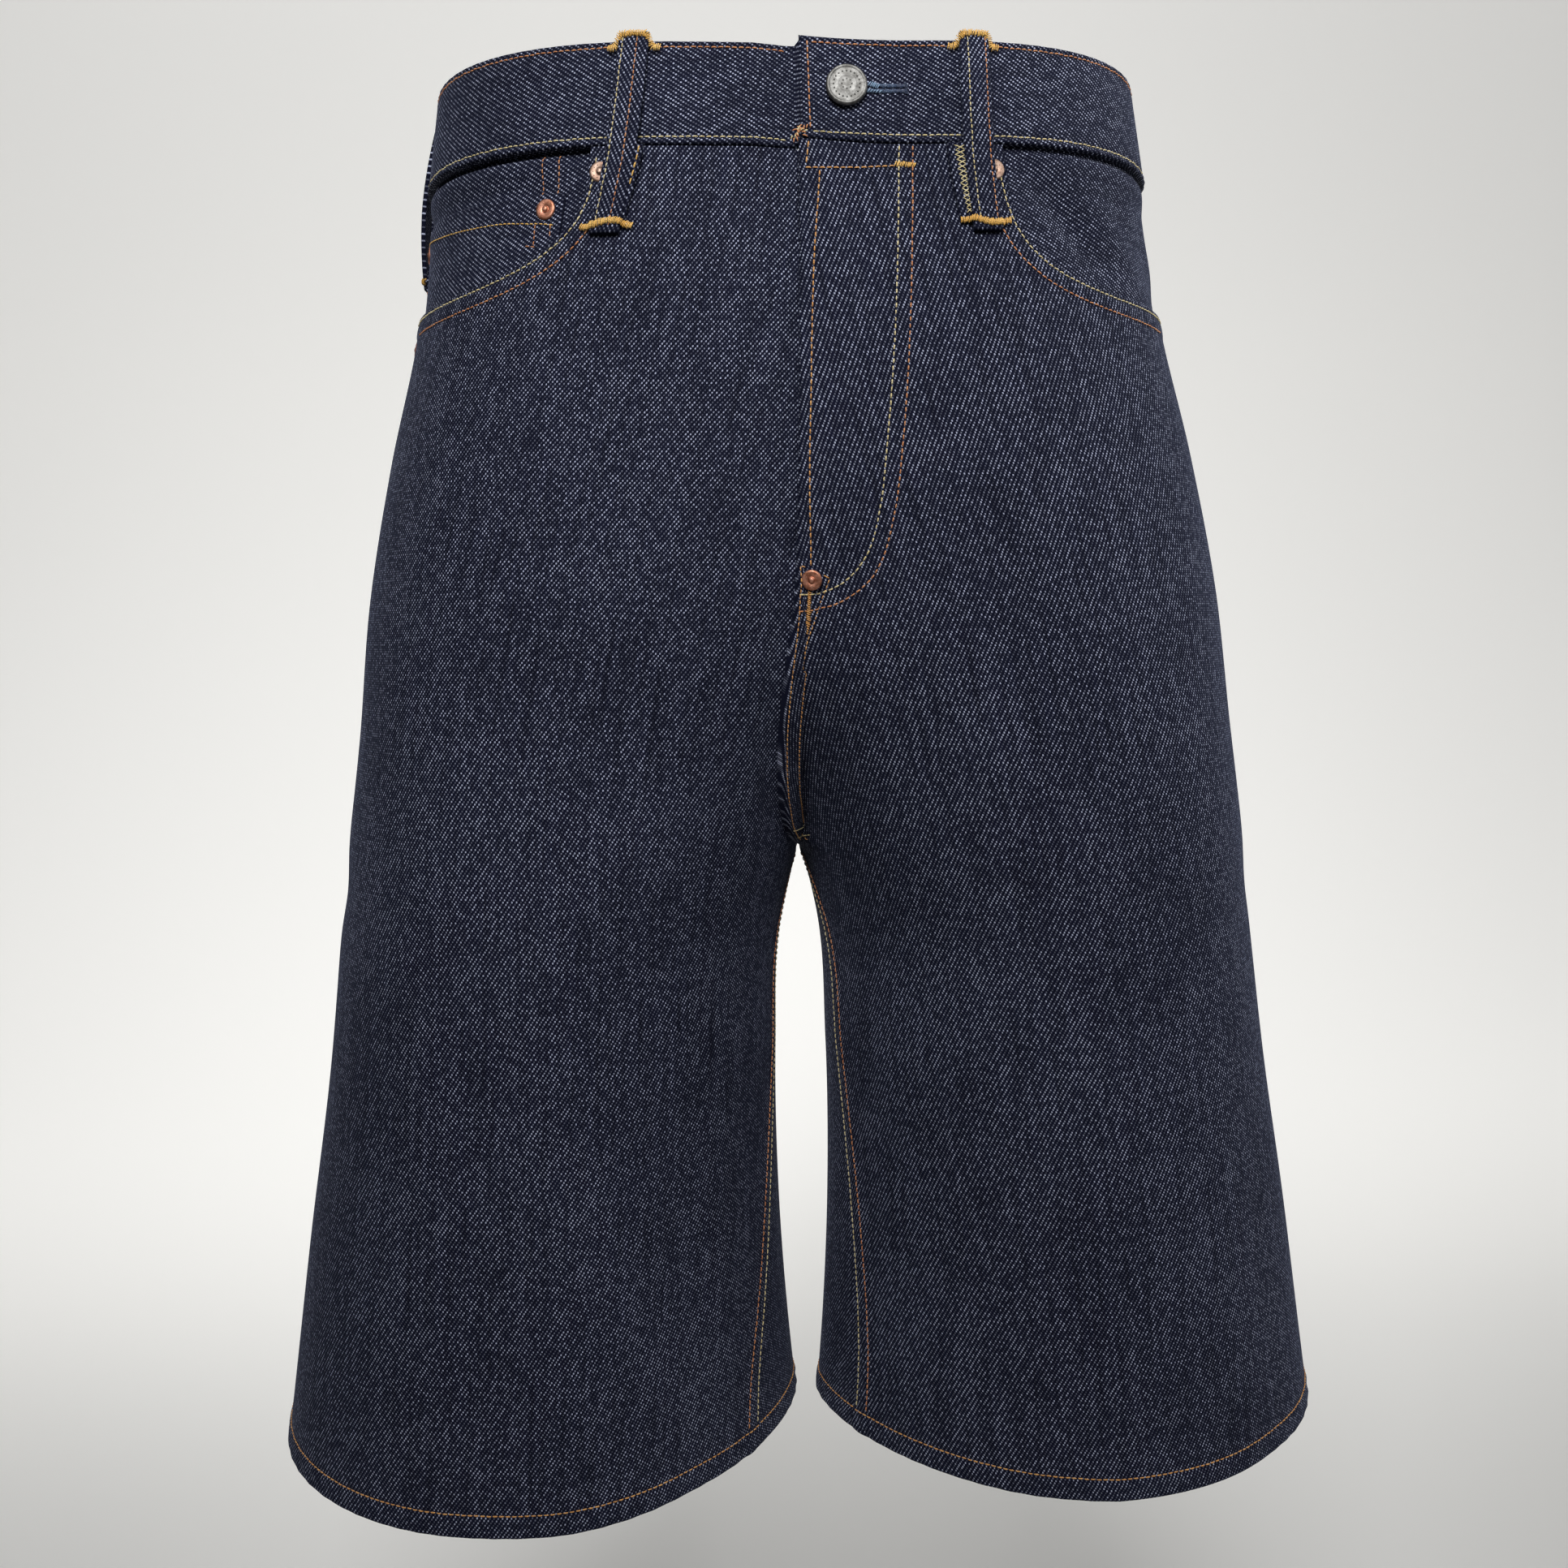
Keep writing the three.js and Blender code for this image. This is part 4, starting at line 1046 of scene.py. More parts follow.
@dataclass(frozen=True)
class Mouth:
    """Front pocket's mouth: a squared quarter ellipse from the waistband to the outseam."""

    side: int
    depth: float
    power: float
    place: float = 1.19

    def level(self, place: Array) -> Array:
        """Level of the mouth at a place, and the band's seam before it."""
        share = clamp((2 - place) / (2 - self.place))
        fall = self.depth * (1 - share**self.power) ** (1 / self.power)
        return FORM.band_seam - np.where(place <= self.place, 0.0, fall)

    def edge(self, beside: float = 0.0, last: float = 90.0) -> Line:
        """The mouth's edge, or a line a number of millimetres outside the opening."""
        angle = np.radians(np.linspace(0.5, last, 48))
        place = 2 - (2 - self.place) * np.cos(angle) ** (2 / self.power)
        level = FORM.band_seam - self.depth * np.sin(angle) ** (2 / self.power)
        if beside:
            points = FORM.face(self.side, level, place)
            ahead = unit(np.gradient(points, axis=0))
            out = FORM.outward(np.full(level.shape, float(self.side)), level, place)
            moved = np.cross(ahead, out) * self.side
            step = FORM.face(self.side, level, place + 0.002) - FORM.face(self.side, level, place - 0.002)
            place = place + beside * (moved * unit(step)).sum(-1) * 0.004 / np.linalg.norm(step, axis=-1)
            level = level + beside * moved[:, 2]
        return Line(self.side, tuple(zip(level, place)))


MOUTHS = {-1: Mouth(-1, 56.0, 3.6), 1: Mouth(1, 60.0, 4.4)}


@dataclass
class ClothPiece:
    """A cut piece of denim: a grid of levels and places on one side's form, with its own relief."""

    side: int
    grain: float = FRONT_GRAIN
    cloth: float = 1.5
    finish: Denim = LEG_DENIM
    rests_on: tuple[str, ...] = ()
    held: str = "hung"

    @property
    def hand(self) -> str:
        """The name's ending."""
        return "left" if self.side > 0 else "right"

    @property
    def node(self) -> str:
        """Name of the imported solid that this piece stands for."""
        raise NotImplementedError

    def grid(self) -> tuple[Array, Array]:
        """Levels and places of the piece's rows and columns."""
        raise NotImplementedError

    def out(self, level: Array, place: Array) -> Array:
        """Height of the outer face over the form."""
        return np.zeros(np.broadcast(level, place).shape)

    def inside(self, level: Array, place: Array, out: Array) -> Array:
        """Height of the inner face over the form."""
        return np.minimum(out, 0) - self.cloth

    def flat(self, level: Array, place: Array) -> Array:
        """Flat coordinates of the piece's cloth."""
        return CLOTH_MAPS[(self.side, self.grain)].flat(level, place)

    def face(self, level: Array, place: Array) -> Array:
        """Points of the outer face."""
        return FORM.face(self.side, level, place, self.out(level, place))

    def make(self) -> bpy.types.Object:
        """Builds the piece, hides the solid that it stands for and logs its flat size and area."""
        level, place = self.grid()
        out = self.out(level, place)
        outer = FORM.face(self.side, level, place, out)
        inner = FORM.face(self.side, level, place, self.inside(level, place, out))
        flat = self.flat(level, place)
        piece = make_piece(f"cloth_{self.node}", shell(outer, inner, flat), [self.finish, DENIM_BACK])
        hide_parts(self.node)
        size = np.ptp(flat.reshape(-1, 2), axis=0) * METRE
        area = flat_area(outer)
        state_sheet(piece, size, area, self.held, self.rests_on)
        return piece


def state_sheet(piece: bpy.types.Object, size: Array, area: float, held: str, rests_on: Sequence[str]) -> None:
    """Logs a piece's flat size and area, which are given in metres."""
    width, length = (round(float(v), 3) for v in size)
    share = min(max(area / (width * length), 0.31), 1.0)
    share * width * length
    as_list(rests_on)
    LOG.info("%s: flat %.0f x %.0f mm, %.4f m2", piece.name, width * 1000, length * 1000, area)


PANEL_TOP = -21.3
SEAM_GAP = 0.0005
FELL_WIDTH = 9.0
HEM_FOLD = 11.0
HEM_CLOTH = 3.2
HOLD_LEVEL = -118.0
FLY_FOOT = -196.0
EDGE_STEPS = (0.0, 0.3, 0.8, 1.5, 2.2, 3.0, 4.2, 5.6, 7.0, 7.8, 8.8, 10.2)
LAP_LEVELS = (-318, -308, -292, -270, -244, -225, -206, -190, -150, -100, -21)
LAP_EDGE = (0.17, -7.0, -10.6, -11.4, -9.6, -7.2, -4.6, -3.4, -2.0, -0.8, 0.4)


INSEAM_PER_PLACE = 146.0
INSEAM_LEVELS = (-318, -420, -480, -540, -575, -605)
INSEAM_FORWARD = {1: (0.0, 0.0, -0.006, -0.012, -0.018, -0.024), -1: (0.0, 0.0, 0.02, 0.06, 0.095, 0.115)}


def inseam(side: int, level: Array) -> Array:
    """Place of the inside leg's seam: on the right leg it runs further forward towards the hem."""
    forward = hermite(-np.array(INSEAM_LEVELS, float), np.array(INSEAM_FORWARD[side]), -level)
    return FORM.section(level, "inseam") + forward


def lap_x(level: Array) -> Array:
    """Own x of the left front's edge: it laps over the right one ever further towards the crotch."""
    return hermite(np.array(LAP_LEVELS, float), np.array(LAP_EDGE), level)


def panel_rows(top: Array) -> Array:
    """Levels of a panel's rows for each column's top: close together at the top, and round the hem's fold."""
    reach = PANEL_TOP - HOLD_LEVEL
    near = np.array(EDGE_STEPS) / reach
    shares = np.concatenate([near, spaced(EDGE_STEPS[-1] + 2.2, reach, 2.3) / reach])
    upper = top[None] + (HOLD_LEVEL - top[None]) * shares[:, None]
    leg = spaced(HOLD_LEVEL - 2.3, FORM.hem + HEM_FOLD + 2, 2.4)
    fold = FORM.hem + np.array([HEM_FOLD + 0.4, HEM_FOLD - 0.6, 8.6, 6.6, 4.6, 2.8, 1.5, 0.7, 0.2, 0.0])
    low = np.concatenate([leg, fold])
    return np.concatenate([upper, np.broadcast_to(low[:, None], (len(low), len(top)))])


def even_columns(first: Array, count: int, last: Array) -> Array:
    """Column shares from 0 to 1: some given near the start and the end, and an even number between."""
    between = np.linspace(first[-1], last[0], count + 2)[1:-1]
    return np.concatenate([first, between, last])


@dataclass
class LegPanel(ClothPiece):
    """What front and back panels share: the hem turned up twice, the side seam and the inside leg's seam."""

    hem_stitch: float = -594.5

    def hem_line(self) -> Line:
        """The hem's stitch line, across the panel."""
        raise NotImplementedError

    def hem_relief(self, level: Array, flat: Array) -> Array:
        """Hem: a rounded lower edge, a swell over the folded layers and slanting rope-like waves."""
        up = level - FORM.hem
        swell = 0.6 * ease((HEM_FOLD + 1.5 - up) / 3)
        slant = np.sin((flat[..., 0] + up * 1.1) * 2 * np.pi / 11.5 + 1.2 * np.sin(flat[..., 0] / 31.0))
        rope = 0.34 * slant * bump(up - 4.5, 5.0)
        stitch = -0.5 * bump(level - self.hem_stitch, 1.3)
        return swell + rope + stitch - roll(np.maximum(up, 0), 1.5)

    def inside(self, level: Array, place: Array, out: Array) -> Array:
        """One thickness, and three where the hem is turned up, round at the lower edge."""
        turned = level < FORM.hem + HEM_FOLD - 0.3
        up = np.maximum(level - FORM.hem, 0)
        under = np.minimum(out, 0)
        return np.where(turned, -HEM_CLOTH + 0.9 * roll(up, 1.5), under - self.cloth)


@dataclass
class FrontPanel(LegPanel):
    """Front of one leg, from the waistband and the pocket's mouth to the hem."""

    dip_reach: float = 22.0
    dip: float = 2.4
    lap_rise: float = 2.1
    beside_lap: float = 1.5

    @property
    def node(self) -> str:
        """Name of the solid."""
        return f"front_panel_{self.hand}"

    def start(self, level: Array) -> Array:
        """Place of the panel's centre edge above the crotch and its inseam edge below."""
        x = lap_x(level) if self.side > 0 else np.full_like(level, 0.17)
        above = FORM.signed_place(level, x)
        return np.where(level > FORM.crotch, above, inseam(self.side, level) + SEAM_GAP)

    def grid(self) -> tuple[Array, Array]:
        """Columns follow the fly's edge, the mouth's upright part and its curve."""
        mouth = MOUTHS[self.side]
        top = np.array([PANEL_TOP])
        start, end = float(self.start(top)[0]), FORM.outseam - SEAM_GAP
        step = FORM.face(self.side, top, start + 0.5) - FORM.face(self.side, top, start + 0.49)
        per_place = float(np.linalg.norm(step)) / 0.01
        fly = start + np.array([0, 0.4, 1.0, 1.8, 2.8, 4.0, 5.2, 6.4, 7.6, 8.6, 9.6, 11, 13]) / per_place
        upright = mouth.place - np.array(EDGE_STEPS[::-1]) / per_place
        between = np.linspace(fly[-1], upright[0], int((upright[0] - fly[-1]) * per_place / 2.3))[1:-1]
        edge = mouth.edge()
        level, place = (np.array(v) for v in zip(*edge.knots))
        station = lengths_along(FORM.face(self.side, level, place))
        station = station + 0.35 * np.interp(place, (mouth.place, 2.0), (0, 90))
        at = np.linspace(0, station[-1], 62)[1:]
        curve = np.interp(at, station, place)
        curve = np.concatenate([curve[curve < end - 0.02], end - np.array([2.4, 1.4, 0.7, 0.0]) / per_place])
        places = np.concatenate([fly, between, upright, curve])
        shares = (places - start) / (end - start)
        tops = np.full(len(shares), PANEL_TOP)
        for _ in range(6):
            first = self.start(tops)
            tops = np.minimum(PANEL_TOP, mouth.level(first + (end - first) * shares))
        levels = panel_rows(tops)
        first = self.start(levels.ravel()).reshape(levels.shape)
        return levels, first + (end - first) * shares[None]

    def out(self, level: Array, place: Array) -> Array:
        """Fly and centre seam, folded edges, and the pull of the stitch lines."""
        level, place = np.broadcast_arrays(np.asarray(level, float), np.asarray(place, float))
        flat = self.flat(level, place)
        x = FORM.width_at(level, place)
        above = level > FORM.crotch
        fly = ease((level - FLY_FOOT) / 14)
        height = np.zeros(level.shape)
        if self.side < 0:
            from_lap = x + lap_x(level)
            trough = self.beside_lap * bump(from_lap - 3.5, 6.0) * (1 - fly) * clamp((level - FORM.crotch) / 20)
            height -= np.where(above, self.dip * fly * ease(1 - x / self.dip_reach) + trough, 0)
        else:
            edge = x - lap_x(level)
            low = clamp((level - FORM.crotch) / 8)
            lap = self.lap_rise * ease((FELL_WIDTH + 1.6 - edge) / 2.6) * (1 - fly) * low
            lap = lap + 0.9 * ease((32 - edge) / 28) * fly
            swell = 0.5 * bump(edge - 1.6, 1.6) * (1 - fly) - 0.3 * bump(edge - 8.1, 1.0) * (1 - fly)
            height += np.where(above, lap + swell - roll(np.maximum(edge, 0), 1.0), 0)
        height = height + self.hem_relief(level, flat) * (level < FORM.hem + 20)
        return height + self.seam_relief(level, place, flat) + self.inseam_fell(level, place)

    def inseam_fell(self, level: Array, place: Array) -> Array:
        """Raised fell in front of the inside leg's seam, with its two grooves."""
        away = (place - inseam(self.side, level)) * INSEAM_PER_PLACE
        band = 0.7 * ease((8.8 - away) / 1.8) - 0.4 * bump(away, 0.8)
        grooves = -0.22 * bump(away - 1.8, 1.0) - 0.22 * bump(away - 7.2, 1.0)
        return np.where(level < FORM.crotch - 3, band + grooves, 0)

    def inseam_line(self, beside: float, first: float) -> Line:
        """Stitches in front of the inside leg's seam, from a level down to the hem's line."""
        levels = np.linspace(first, self.hem_stitch + 2, 30)
        return Line(self.side, tuple(zip(levels, inseam(self.side, levels) + beside / INSEAM_PER_PLACE)))

    @cached_property
    def tracks(self) -> dict[str, Track]:
        """Lines that the relief follows."""
        mouth = MOUTHS[self.side]
        made = {"mouth": Track.along(mouth.edge(), self.grain)}
        made["fly_inner"] = Track.along(FLY_J_INNER, self.grain) if self.side > 0 else None
        made["fly_outer"] = Track.along(FLY_J_OUTER, self.grain) if self.side > 0 else None
        return made

    def seam_relief(self, level: Array, place: Array, flat: Array) -> Array:
        """Mouth's folded edge and its two grooves, the fly's curved lines, and soft waves beside them."""
        distance, along = self.tracks["mouth"].reach(flat)
        near = distance < 30
        lip = np.where(near, 0.45 * ease((10.5 - distance) / 3) - roll(distance, 0.9), 0)
        grooves = -0.28 * bump(distance - 2.0, 0.9) - 0.28 * bump(distance - 8.3, 0.9)
        wave = 0.16 * np.sin(along * 2 * np.pi / 9.5) * bump(distance - 5.2, 3.4)
        height = np.where(level > -110, lip + grooves + wave, 0)
        if self.side > 0:
            for name in ("fly_inner", "fly_outer"):
                height = height + self.tracks[name].groove(flat, 0.3, 1.8)
            height = height + self.tracks["fly_inner"].pucker(flat, 0.16, 10.0, 3.2, 3.0)
        return height

    def hem_line(self) -> Line:
        """The front hem's stitches."""
        start = float(self.start(np.array([self.hem_stitch]))[0])
        places = np.linspace(start + 0.004, FORM.outseam - 0.004, 40)
        return Line(self.side, tuple((self.hem_stitch, float(p)) for p in places))


FLY_J_INNER = Line(
    1,
    (
        (-21.5, 40.8), (-60, 39.4), (-100, 37.4), (-140, 34.0), (-168.5, 30.4), (-184, 25.8),
        (-193.2, 19.0), (-197.6, 12.6), (-199.6, 7.0), (-199.8, -3.0),
    ),
    Measure.FRONT,
)
FLY_J_OUTER = Line(
    1,
    (
        (-21.5, 46.4), (-60, 45.2), (-100, 43.4), (-140, 40.4), (-170, 36.4), (-186, 32.0),
        (-194.4, 27.2), (-201, 19.4), (-204.6, 12.4), (-206.4, 4.0), (-206.6, -3.4),
    ),
    Measure.FRONT,
)
FLY_EDGE_LINE = Line(1, ((-33, 8.6), (-71, 5.3), (-120, 3.4), (-155, 2.5), (-188.6, 2.9)), Measure.FRONT)


@dataclass
class BackPanel(LegPanel):
    """Back of one leg, from the yoke to the hem."""

    grain: float = BACK_GRAIN

    @property
    def node(self) -> str:
        """Name of the solid."""
        return f"back_panel_{self.hand}"

    def grid(self) -> tuple[Array, Array]:
        """Columns from the outseam to the centre back, close together at both."""
        return back_grid(self.side, panel_rows, below_yoke, 102)

    def out(self, level: Array, place: Array) -> Array:
        """Outseam's raised fell, the centre's fell and the hem."""
        level, place = np.broadcast_arrays(np.asarray(level, float), np.asarray(place, float))
        flat = self.flat(level, place)
        height = self.hem_relief(level, flat) * (level < FORM.hem + 20)
        return height + centre_fell(self.side, level, place) + outseam_fell(level, place)

    def hem_line(self) -> Line:
        """The back hem's stitches."""
        last = 4 + float(inseam(self.side, np.array([self.hem_stitch]))[0])
        places = np.linspace(FORM.outseam + 0.004, last - 0.004, 60)
        return Line(self.side, tuple((self.hem_stitch, float(p)) for p in places))


def yoke_level(place: Array) -> Array:
    """Level of the yoke's seam: lower at the centre back than at the outseam."""
    level = np.array([-90.0])
    centre = float(4 - FORM.place_at(level, np.zeros(1))[0])
    return -58 - 32 * clamp((place - FORM.outseam) / (centre - FORM.outseam))


def below_yoke(place: Array) -> Array:
    """Level of the back panel's top edge, just below the yoke."""
    return yoke_level(place) - 0.3


def back_end(side: int, level: Array) -> Array:
    """Place of a back panel's centre edge above the crotch and its inseam edge below."""
    above = 4 - FORM.place_at(level, np.full_like(level, 0.17))
    return np.where(level > FORM.crotch, above, 4 + inseam(side, level) - SEAM_GAP)


def back_grid(
    side: int, rows: Callable[[Array], Array], top: Callable[[Array], Array], count: int
) -> tuple[Array, Array]:
    """Levels and places of a back piece from the outseam to the centre back."""
    start = FORM.outseam + SEAM_GAP
    level = np.array([PANEL_TOP])
    end = float(back_end(side, level)[0])
    per_place = 104.0
    first = np.array([0, 0.5, 1.2, 2.4, 4.0, 5.6, 7.0, 8.2, 9.4]) / per_place / (end - start)
    last = 1 - np.array([11, 9.6, 9.0, 8.2, 7.2, 5.8, 4.2, 2.6, 1.4, 0.6, 0]) / per_place / (end - start)
    shares = even_columns(first, count, last)
    tops = np.full(len(shares), PANEL_TOP)
    for _ in range(6):
        tops = top(start + (back_end(side, tops) - start) * shares)
    levels = rows(tops)
    ends = back_end(side, levels.ravel()).reshape(levels.shape)
    return levels, start + (ends - start) * shares[None]


def centre_fell(side: int, level: Array, place: Array) -> Array:
    """Raised fell beside the centre back on the left half."""
    if side < 0:
        return np.zeros(level.shape)
    away = FORM.width_at(level, TURN - place)
    band = 0.7 * ease((FELL_WIDTH + 0.6 - away) / 1.2) + 0.15 * np.sin(level / 1.9) * bump(away - 4.5, 3)
    stitched = -0.25 * bump(away - 1.8, 0.9) - 0.25 * bump(away - 7.4, 0.9)
    return np.where(level > FORM.crotch, band + stitched, 0)


def outseam_fell(level: Array, place: Array) -> Array:
    """Low fell behind the outseam with its two stitch grooves."""
    away = (place - FORM.outseam) * (96 + 20 * clamp((FORM.crotch - level) / 300))
    band = 0.5 * ease((8.6 - away) / 1.6)
    return band - 0.2 * bump(away - 1.7, 0.9) - 0.2 * bump(away - 6.6, 0.9) - 0.35 * bump(away, 0.7)


@dataclass
class Yoke(ClothPiece):
    """Yoke between the waistband and the back panel, with the fell raised along its foot."""

    grain: float = BACK_GRAIN

    @property
    def node(self) -> str:
        """Name of the solid."""
        return f"yoke_{self.hand}"

    def grid(self) -> tuple[Array, Array]:
        """Rows from the waistband to the yoke's foot."""
        return back_grid(self.side, self.rows, yoke_level, 102)

    @staticmethod
    def rows(foot: Array) -> Array:
        """Levels of the rows down to each column's foot, close together above it."""
        above = np.array([10.4, 9.6, 8.8, 7.4, 5.6, 3.6, 2.0, 0.9, 0.3, 0.0])
        shares = np.linspace(0, 1, 24)[:-1]
        upper = PANEL_TOP + (foot[None] + above[0] - PANEL_TOP) * shares[:, None]
        return np.concatenate([upper, foot[None] + above[:, None]])

    def out(self, level: Array, place: Array) -> Array:
        """The fell along the foot, rolled at the edge, with grooves and slow waves."""
        level, place = np.broadcast_arrays(np.asarray(level, float), np.asarray(place, float))
        up = level - yoke_level(place)
        band = 0.7 * ease((FELL_WIDTH + 1.0 - up) / 1.4) - 0.6 * roll(np.maximum(up, 0), 0.8)
        wave = 0.14 * np.sin(place * 104 * 2 * np.pi / 10.5) * bump(up - 4.6, 3)
        stitched = -0.25 * bump(up - 1.8, 0.8) - 0.25 * bump(up - 7.4, 0.8)
        return band + wave + stitched + centre_fell(self.side, level, place) * 0.9 + 0.6 * outseam_fell(level, place)


@dataclass
class BackPocket(ClothPiece):
    """Patch pocket with five sides on the back panel, its top hem a little proud."""

    grain: float = BACK_GRAIN
    cloth: float = 1.2
    held: str = "laid"
    lowest: float = 0.4
    top: float = -106.0
    slope: float = 9.0
    height: float = 146.0
    point: float = 12.0
    outer: float = 0.385
    inner: float = 0.945
    taper: float = 0.026
    hem: float = 18.0
    hem_rise: float = 0.6

    @property
    def node(self) -> str:
        """Name of the solid."""
        return f"back_pocket_{self.hand}"

    def grid(self) -> tuple[Array, Array]:
        """Columns across the patch, drawn in towards its foot."""
        s = np.concatenate([[0, 0.004, 0.012, 0.024], np.linspace(0.04, 0.96, 56), [0.976, 0.988, 0.996, 1]])
        rows = np.concatenate([[0, 0.002, 0.006, 0.014], np.linspace(0.025, 0.975, 62), [0.986, 0.994, 0.998, 1]])
        return self.place(s[None], rows[:, None])

    def ends(self, s: Array) -> tuple[Array, Array]:
        """Levels of the patch's top and foot at a share across."""
        first = self.top - self.slope * s
        return first, first - self.height + self.point * np.abs(2 * s - 1)

    def place(self, s: Array, r: Array) -> tuple[Array, Array]:
        """Level and place at shares across and down the patch."""
        first, foot = self.ends(s)
        level = first + (foot - first) * r
        start = FORM.outseam + SEAM_GAP
        end = back_end(self.side, level)
        share = self.outer + (self.inner - self.outer) * s + self.taper * r * (1 - 2 * s)
        return level, start + (end - start) * share

    def breadths(self, r: Array) -> tuple[Array, Array]:
        """Millimetres for a whole share across, beside the first and beside the last upright edge."""
        near = [self.flat(*self.place(np.full_like(r, s), r))[..., 0] for s in (0.0, 0.05, 0.95, 1.0)]
        return np.abs(near[1] - near[0]) / 0.05, np.abs(near[3] - near[2]) / 0.05

    def edge_line(self, inset: float) -> Line:
        """Line round the sewn edges, a number of millimetres in from them."""
        r0 = 1 - inset * 1.02 / self.height
        down = np.linspace(0.01, r0, 24)
        first, last = self.breadths(down)
        s0, s1 = inset / first, 1 - inset / last
        s = np.concatenate([s0, np.linspace(s0[-1], 0.5, 14)[1:], np.linspace(0.5, s1[-1], 14)[1:], s1[::-1][1:]])
        r = np.concatenate([down, np.full(26, r0), down[::-1][1:]])
        return Line(self.side, tuple(zip(*self.place(s, r))))

    def shares(self, level: Array, place: Array) -> tuple[Array, Array]:
        """Shares across and down the patch at a level and place, by a few rounds of correction."""
        start = FORM.outseam + SEAM_GAP
        whole = (place - start) / (back_end(self.side, level) - start)
        s, r = np.full(level.shape, 0.5), np.full(level.shape, 0.5)
        for _ in range(8):
            s = clamp((whole - self.outer - self.taper * r) / (self.inner - self.outer - 2 * self.taper * r), -0.1, 1.1)
            first, foot = self.ends(s)
            r = clamp((level - first) / (foot - first), -0.1, 1.1)
        return s, r

    def out(self, level: Array, place: Array) -> Array:
        """A slightly crowned patch on the panel, its folded edges rolled and stitched."""
        level, place = np.broadcast_arrays(np.asarray(level, float), np.asarray(place, float))
        s, r = self.shares(level, place)
        first, last = self.breadths(r)
        across, down = np.minimum(s * first, (1 - s) * last), r * self.height
        foot = (1 - r) * self.height
        edge = np.minimum(np.minimum(across, foot), down)
        sewn = np.minimum(across, foot)
        crown = 0.9 * ease(np.minimum(sewn, 40) / 40)
        layers = 0.5 * ease((10 - sewn) / 2.5) + self.hem_rise * ease((self.hem + 0.6 - down) / 1.2)
        stitched = -0.25 * bump(sewn - 1.9, 0.9) - 0.25 * bump(sewn - 7.6, 0.9)
        return self.lowest + self.cloth + crown + layers + stitched - 0.9 * roll(np.maximum(edge, 0), 0.9)

    def inside(self, level: Array, place: Array, out: Array) -> Array:
        """The patch lies on the panel."""
        return np.full(level.shape, self.lowest + 0.15)


@dataclass
class PocketFacing(ClothPiece):
    """Denim that shows in the pocket's mouth and runs on behind the front panel."""

    cloth: float = 1.2
    finish: Denim = CROSS_DENIM
    under: float = -1.95
    highest: float = -0.7
    upper_rows: tuple[float, ...] = (-15, -18, -20.5, -22, -22.8, -23.6, -24.4, -26, -28, -30.5, -33)

    @property
    def node(self) -> str:
        """Name of the solid."""
        return f"pocket_facing_{self.hand}"

    def grid(self) -> tuple[Array, Array]:
        """Rows from the waistband to behind the mouth."""
        places = spaced(1.07, FORM.outseam - 0.003, 0.018)
        mouth = MOUTHS[self.side].level(np.minimum(places + 0.03, 2.0))
        foot = np.minimum(mouth, FORM.band_seam - 20) - 20
        upper = np.array(self.upper_rows)[:, None] + 0 * places[None]
        split = self.upper_rows[-1]
        levels = np.concatenate([upper, split + (foot - split)[None] * np.linspace(0, 1, 34)[1:, None]])
        return levels, np.broadcast_to(places, levels.shape)

    def out(self, level: Array, place: Array) -> Array:
        """Lies under the front panel, rises to the band's foot in the mouth and has a few shallow dents."""
        level, place = np.broadcast_arrays(np.asarray(level, float), np.asarray(place, float))
        dents = np.zeros(level.shape)
        for side, at, where, spread, length, depth in FACING_DENTS:
            if side == self.side:
                lean = where - 0.004 * (level - at)
                dents += depth * bump(place - lean, spread) * bump(level - at, length)
        rise = ease((level + 36) / 10) * ease((-22.4 - level) / 1.8) * ease((place - 1.24) / 0.05)
        return self.under + (self.highest - self.under) * rise + dents


FACING_DENTS = (
    (1, -50, 1.36, 0.05, 16, -1.5),
    (1, -46, 1.55, 0.06, 14, -0.8),
    (1, -60, 1.74, 0.07, 12, -1.1),
    (-1, -62, 1.5, 0.07, 9, -0.6),
)


@dataclass
class CoinPocket(ClothPiece):
    """Small patch on the right facing, its foot and its outer edge behind the front panel."""

    cloth: float = 1.2
    finish: Denim = CROSS_DENIM
    under: float = -1.85
    top: float = -38.0
    inner: float = 1.245

    @property
    def node(self) -> str:
        """Name of the solid."""
        return "coin_pocket"

    def grid(self) -> tuple[Array, Array]:
        """Rows from its folded top to behind the mouth."""
        near = self.inner + np.array([0, 0.3, 0.8, 1.5, 2.4]) / 100
        places = np.concatenate([near, spaced(self.inner + 0.045, FORM.outseam - 0.004, 0.018)])
        foot = MOUTHS[self.side].level(np.minimum(places + 0.03, 2.0)) - 10
        rows = np.concatenate([[0, 0.006, 0.016, 0.03], np.linspace(0.055, 1, 34)])[:, None]
        level = self.top + (foot - self.top)[None] * rows
        return level, np.broadcast_to(places, level.shape)

    def out(self, level: Array, place: Array) -> Array:
        """Rolled at its fold and its inner edge, thicker where the fold is stitched."""
        level, place = np.broadcast_arrays(np.asarray(level, float), np.asarray(place, float))
        down, across = self.top - level, (place - self.inner) * 100
        fold = 0.3 * ease((10 - down) / 2) + 0.3 * ease((8 - across) / 2)
        edge = np.maximum(np.minimum(down, across), 0)
        stitched = -0.25 * bump(down - 8.5, 0.9) - 0.2 * bump(across - 2.2, 0.9)
        return self.under + fold + stitched - roll(edge, 0.8)

    def inside(self, level: Array, place: Array, out: Array) -> Array:
        """Even underside, on the facing."""
        return np.full(level.shape, self.under - self.cloth)


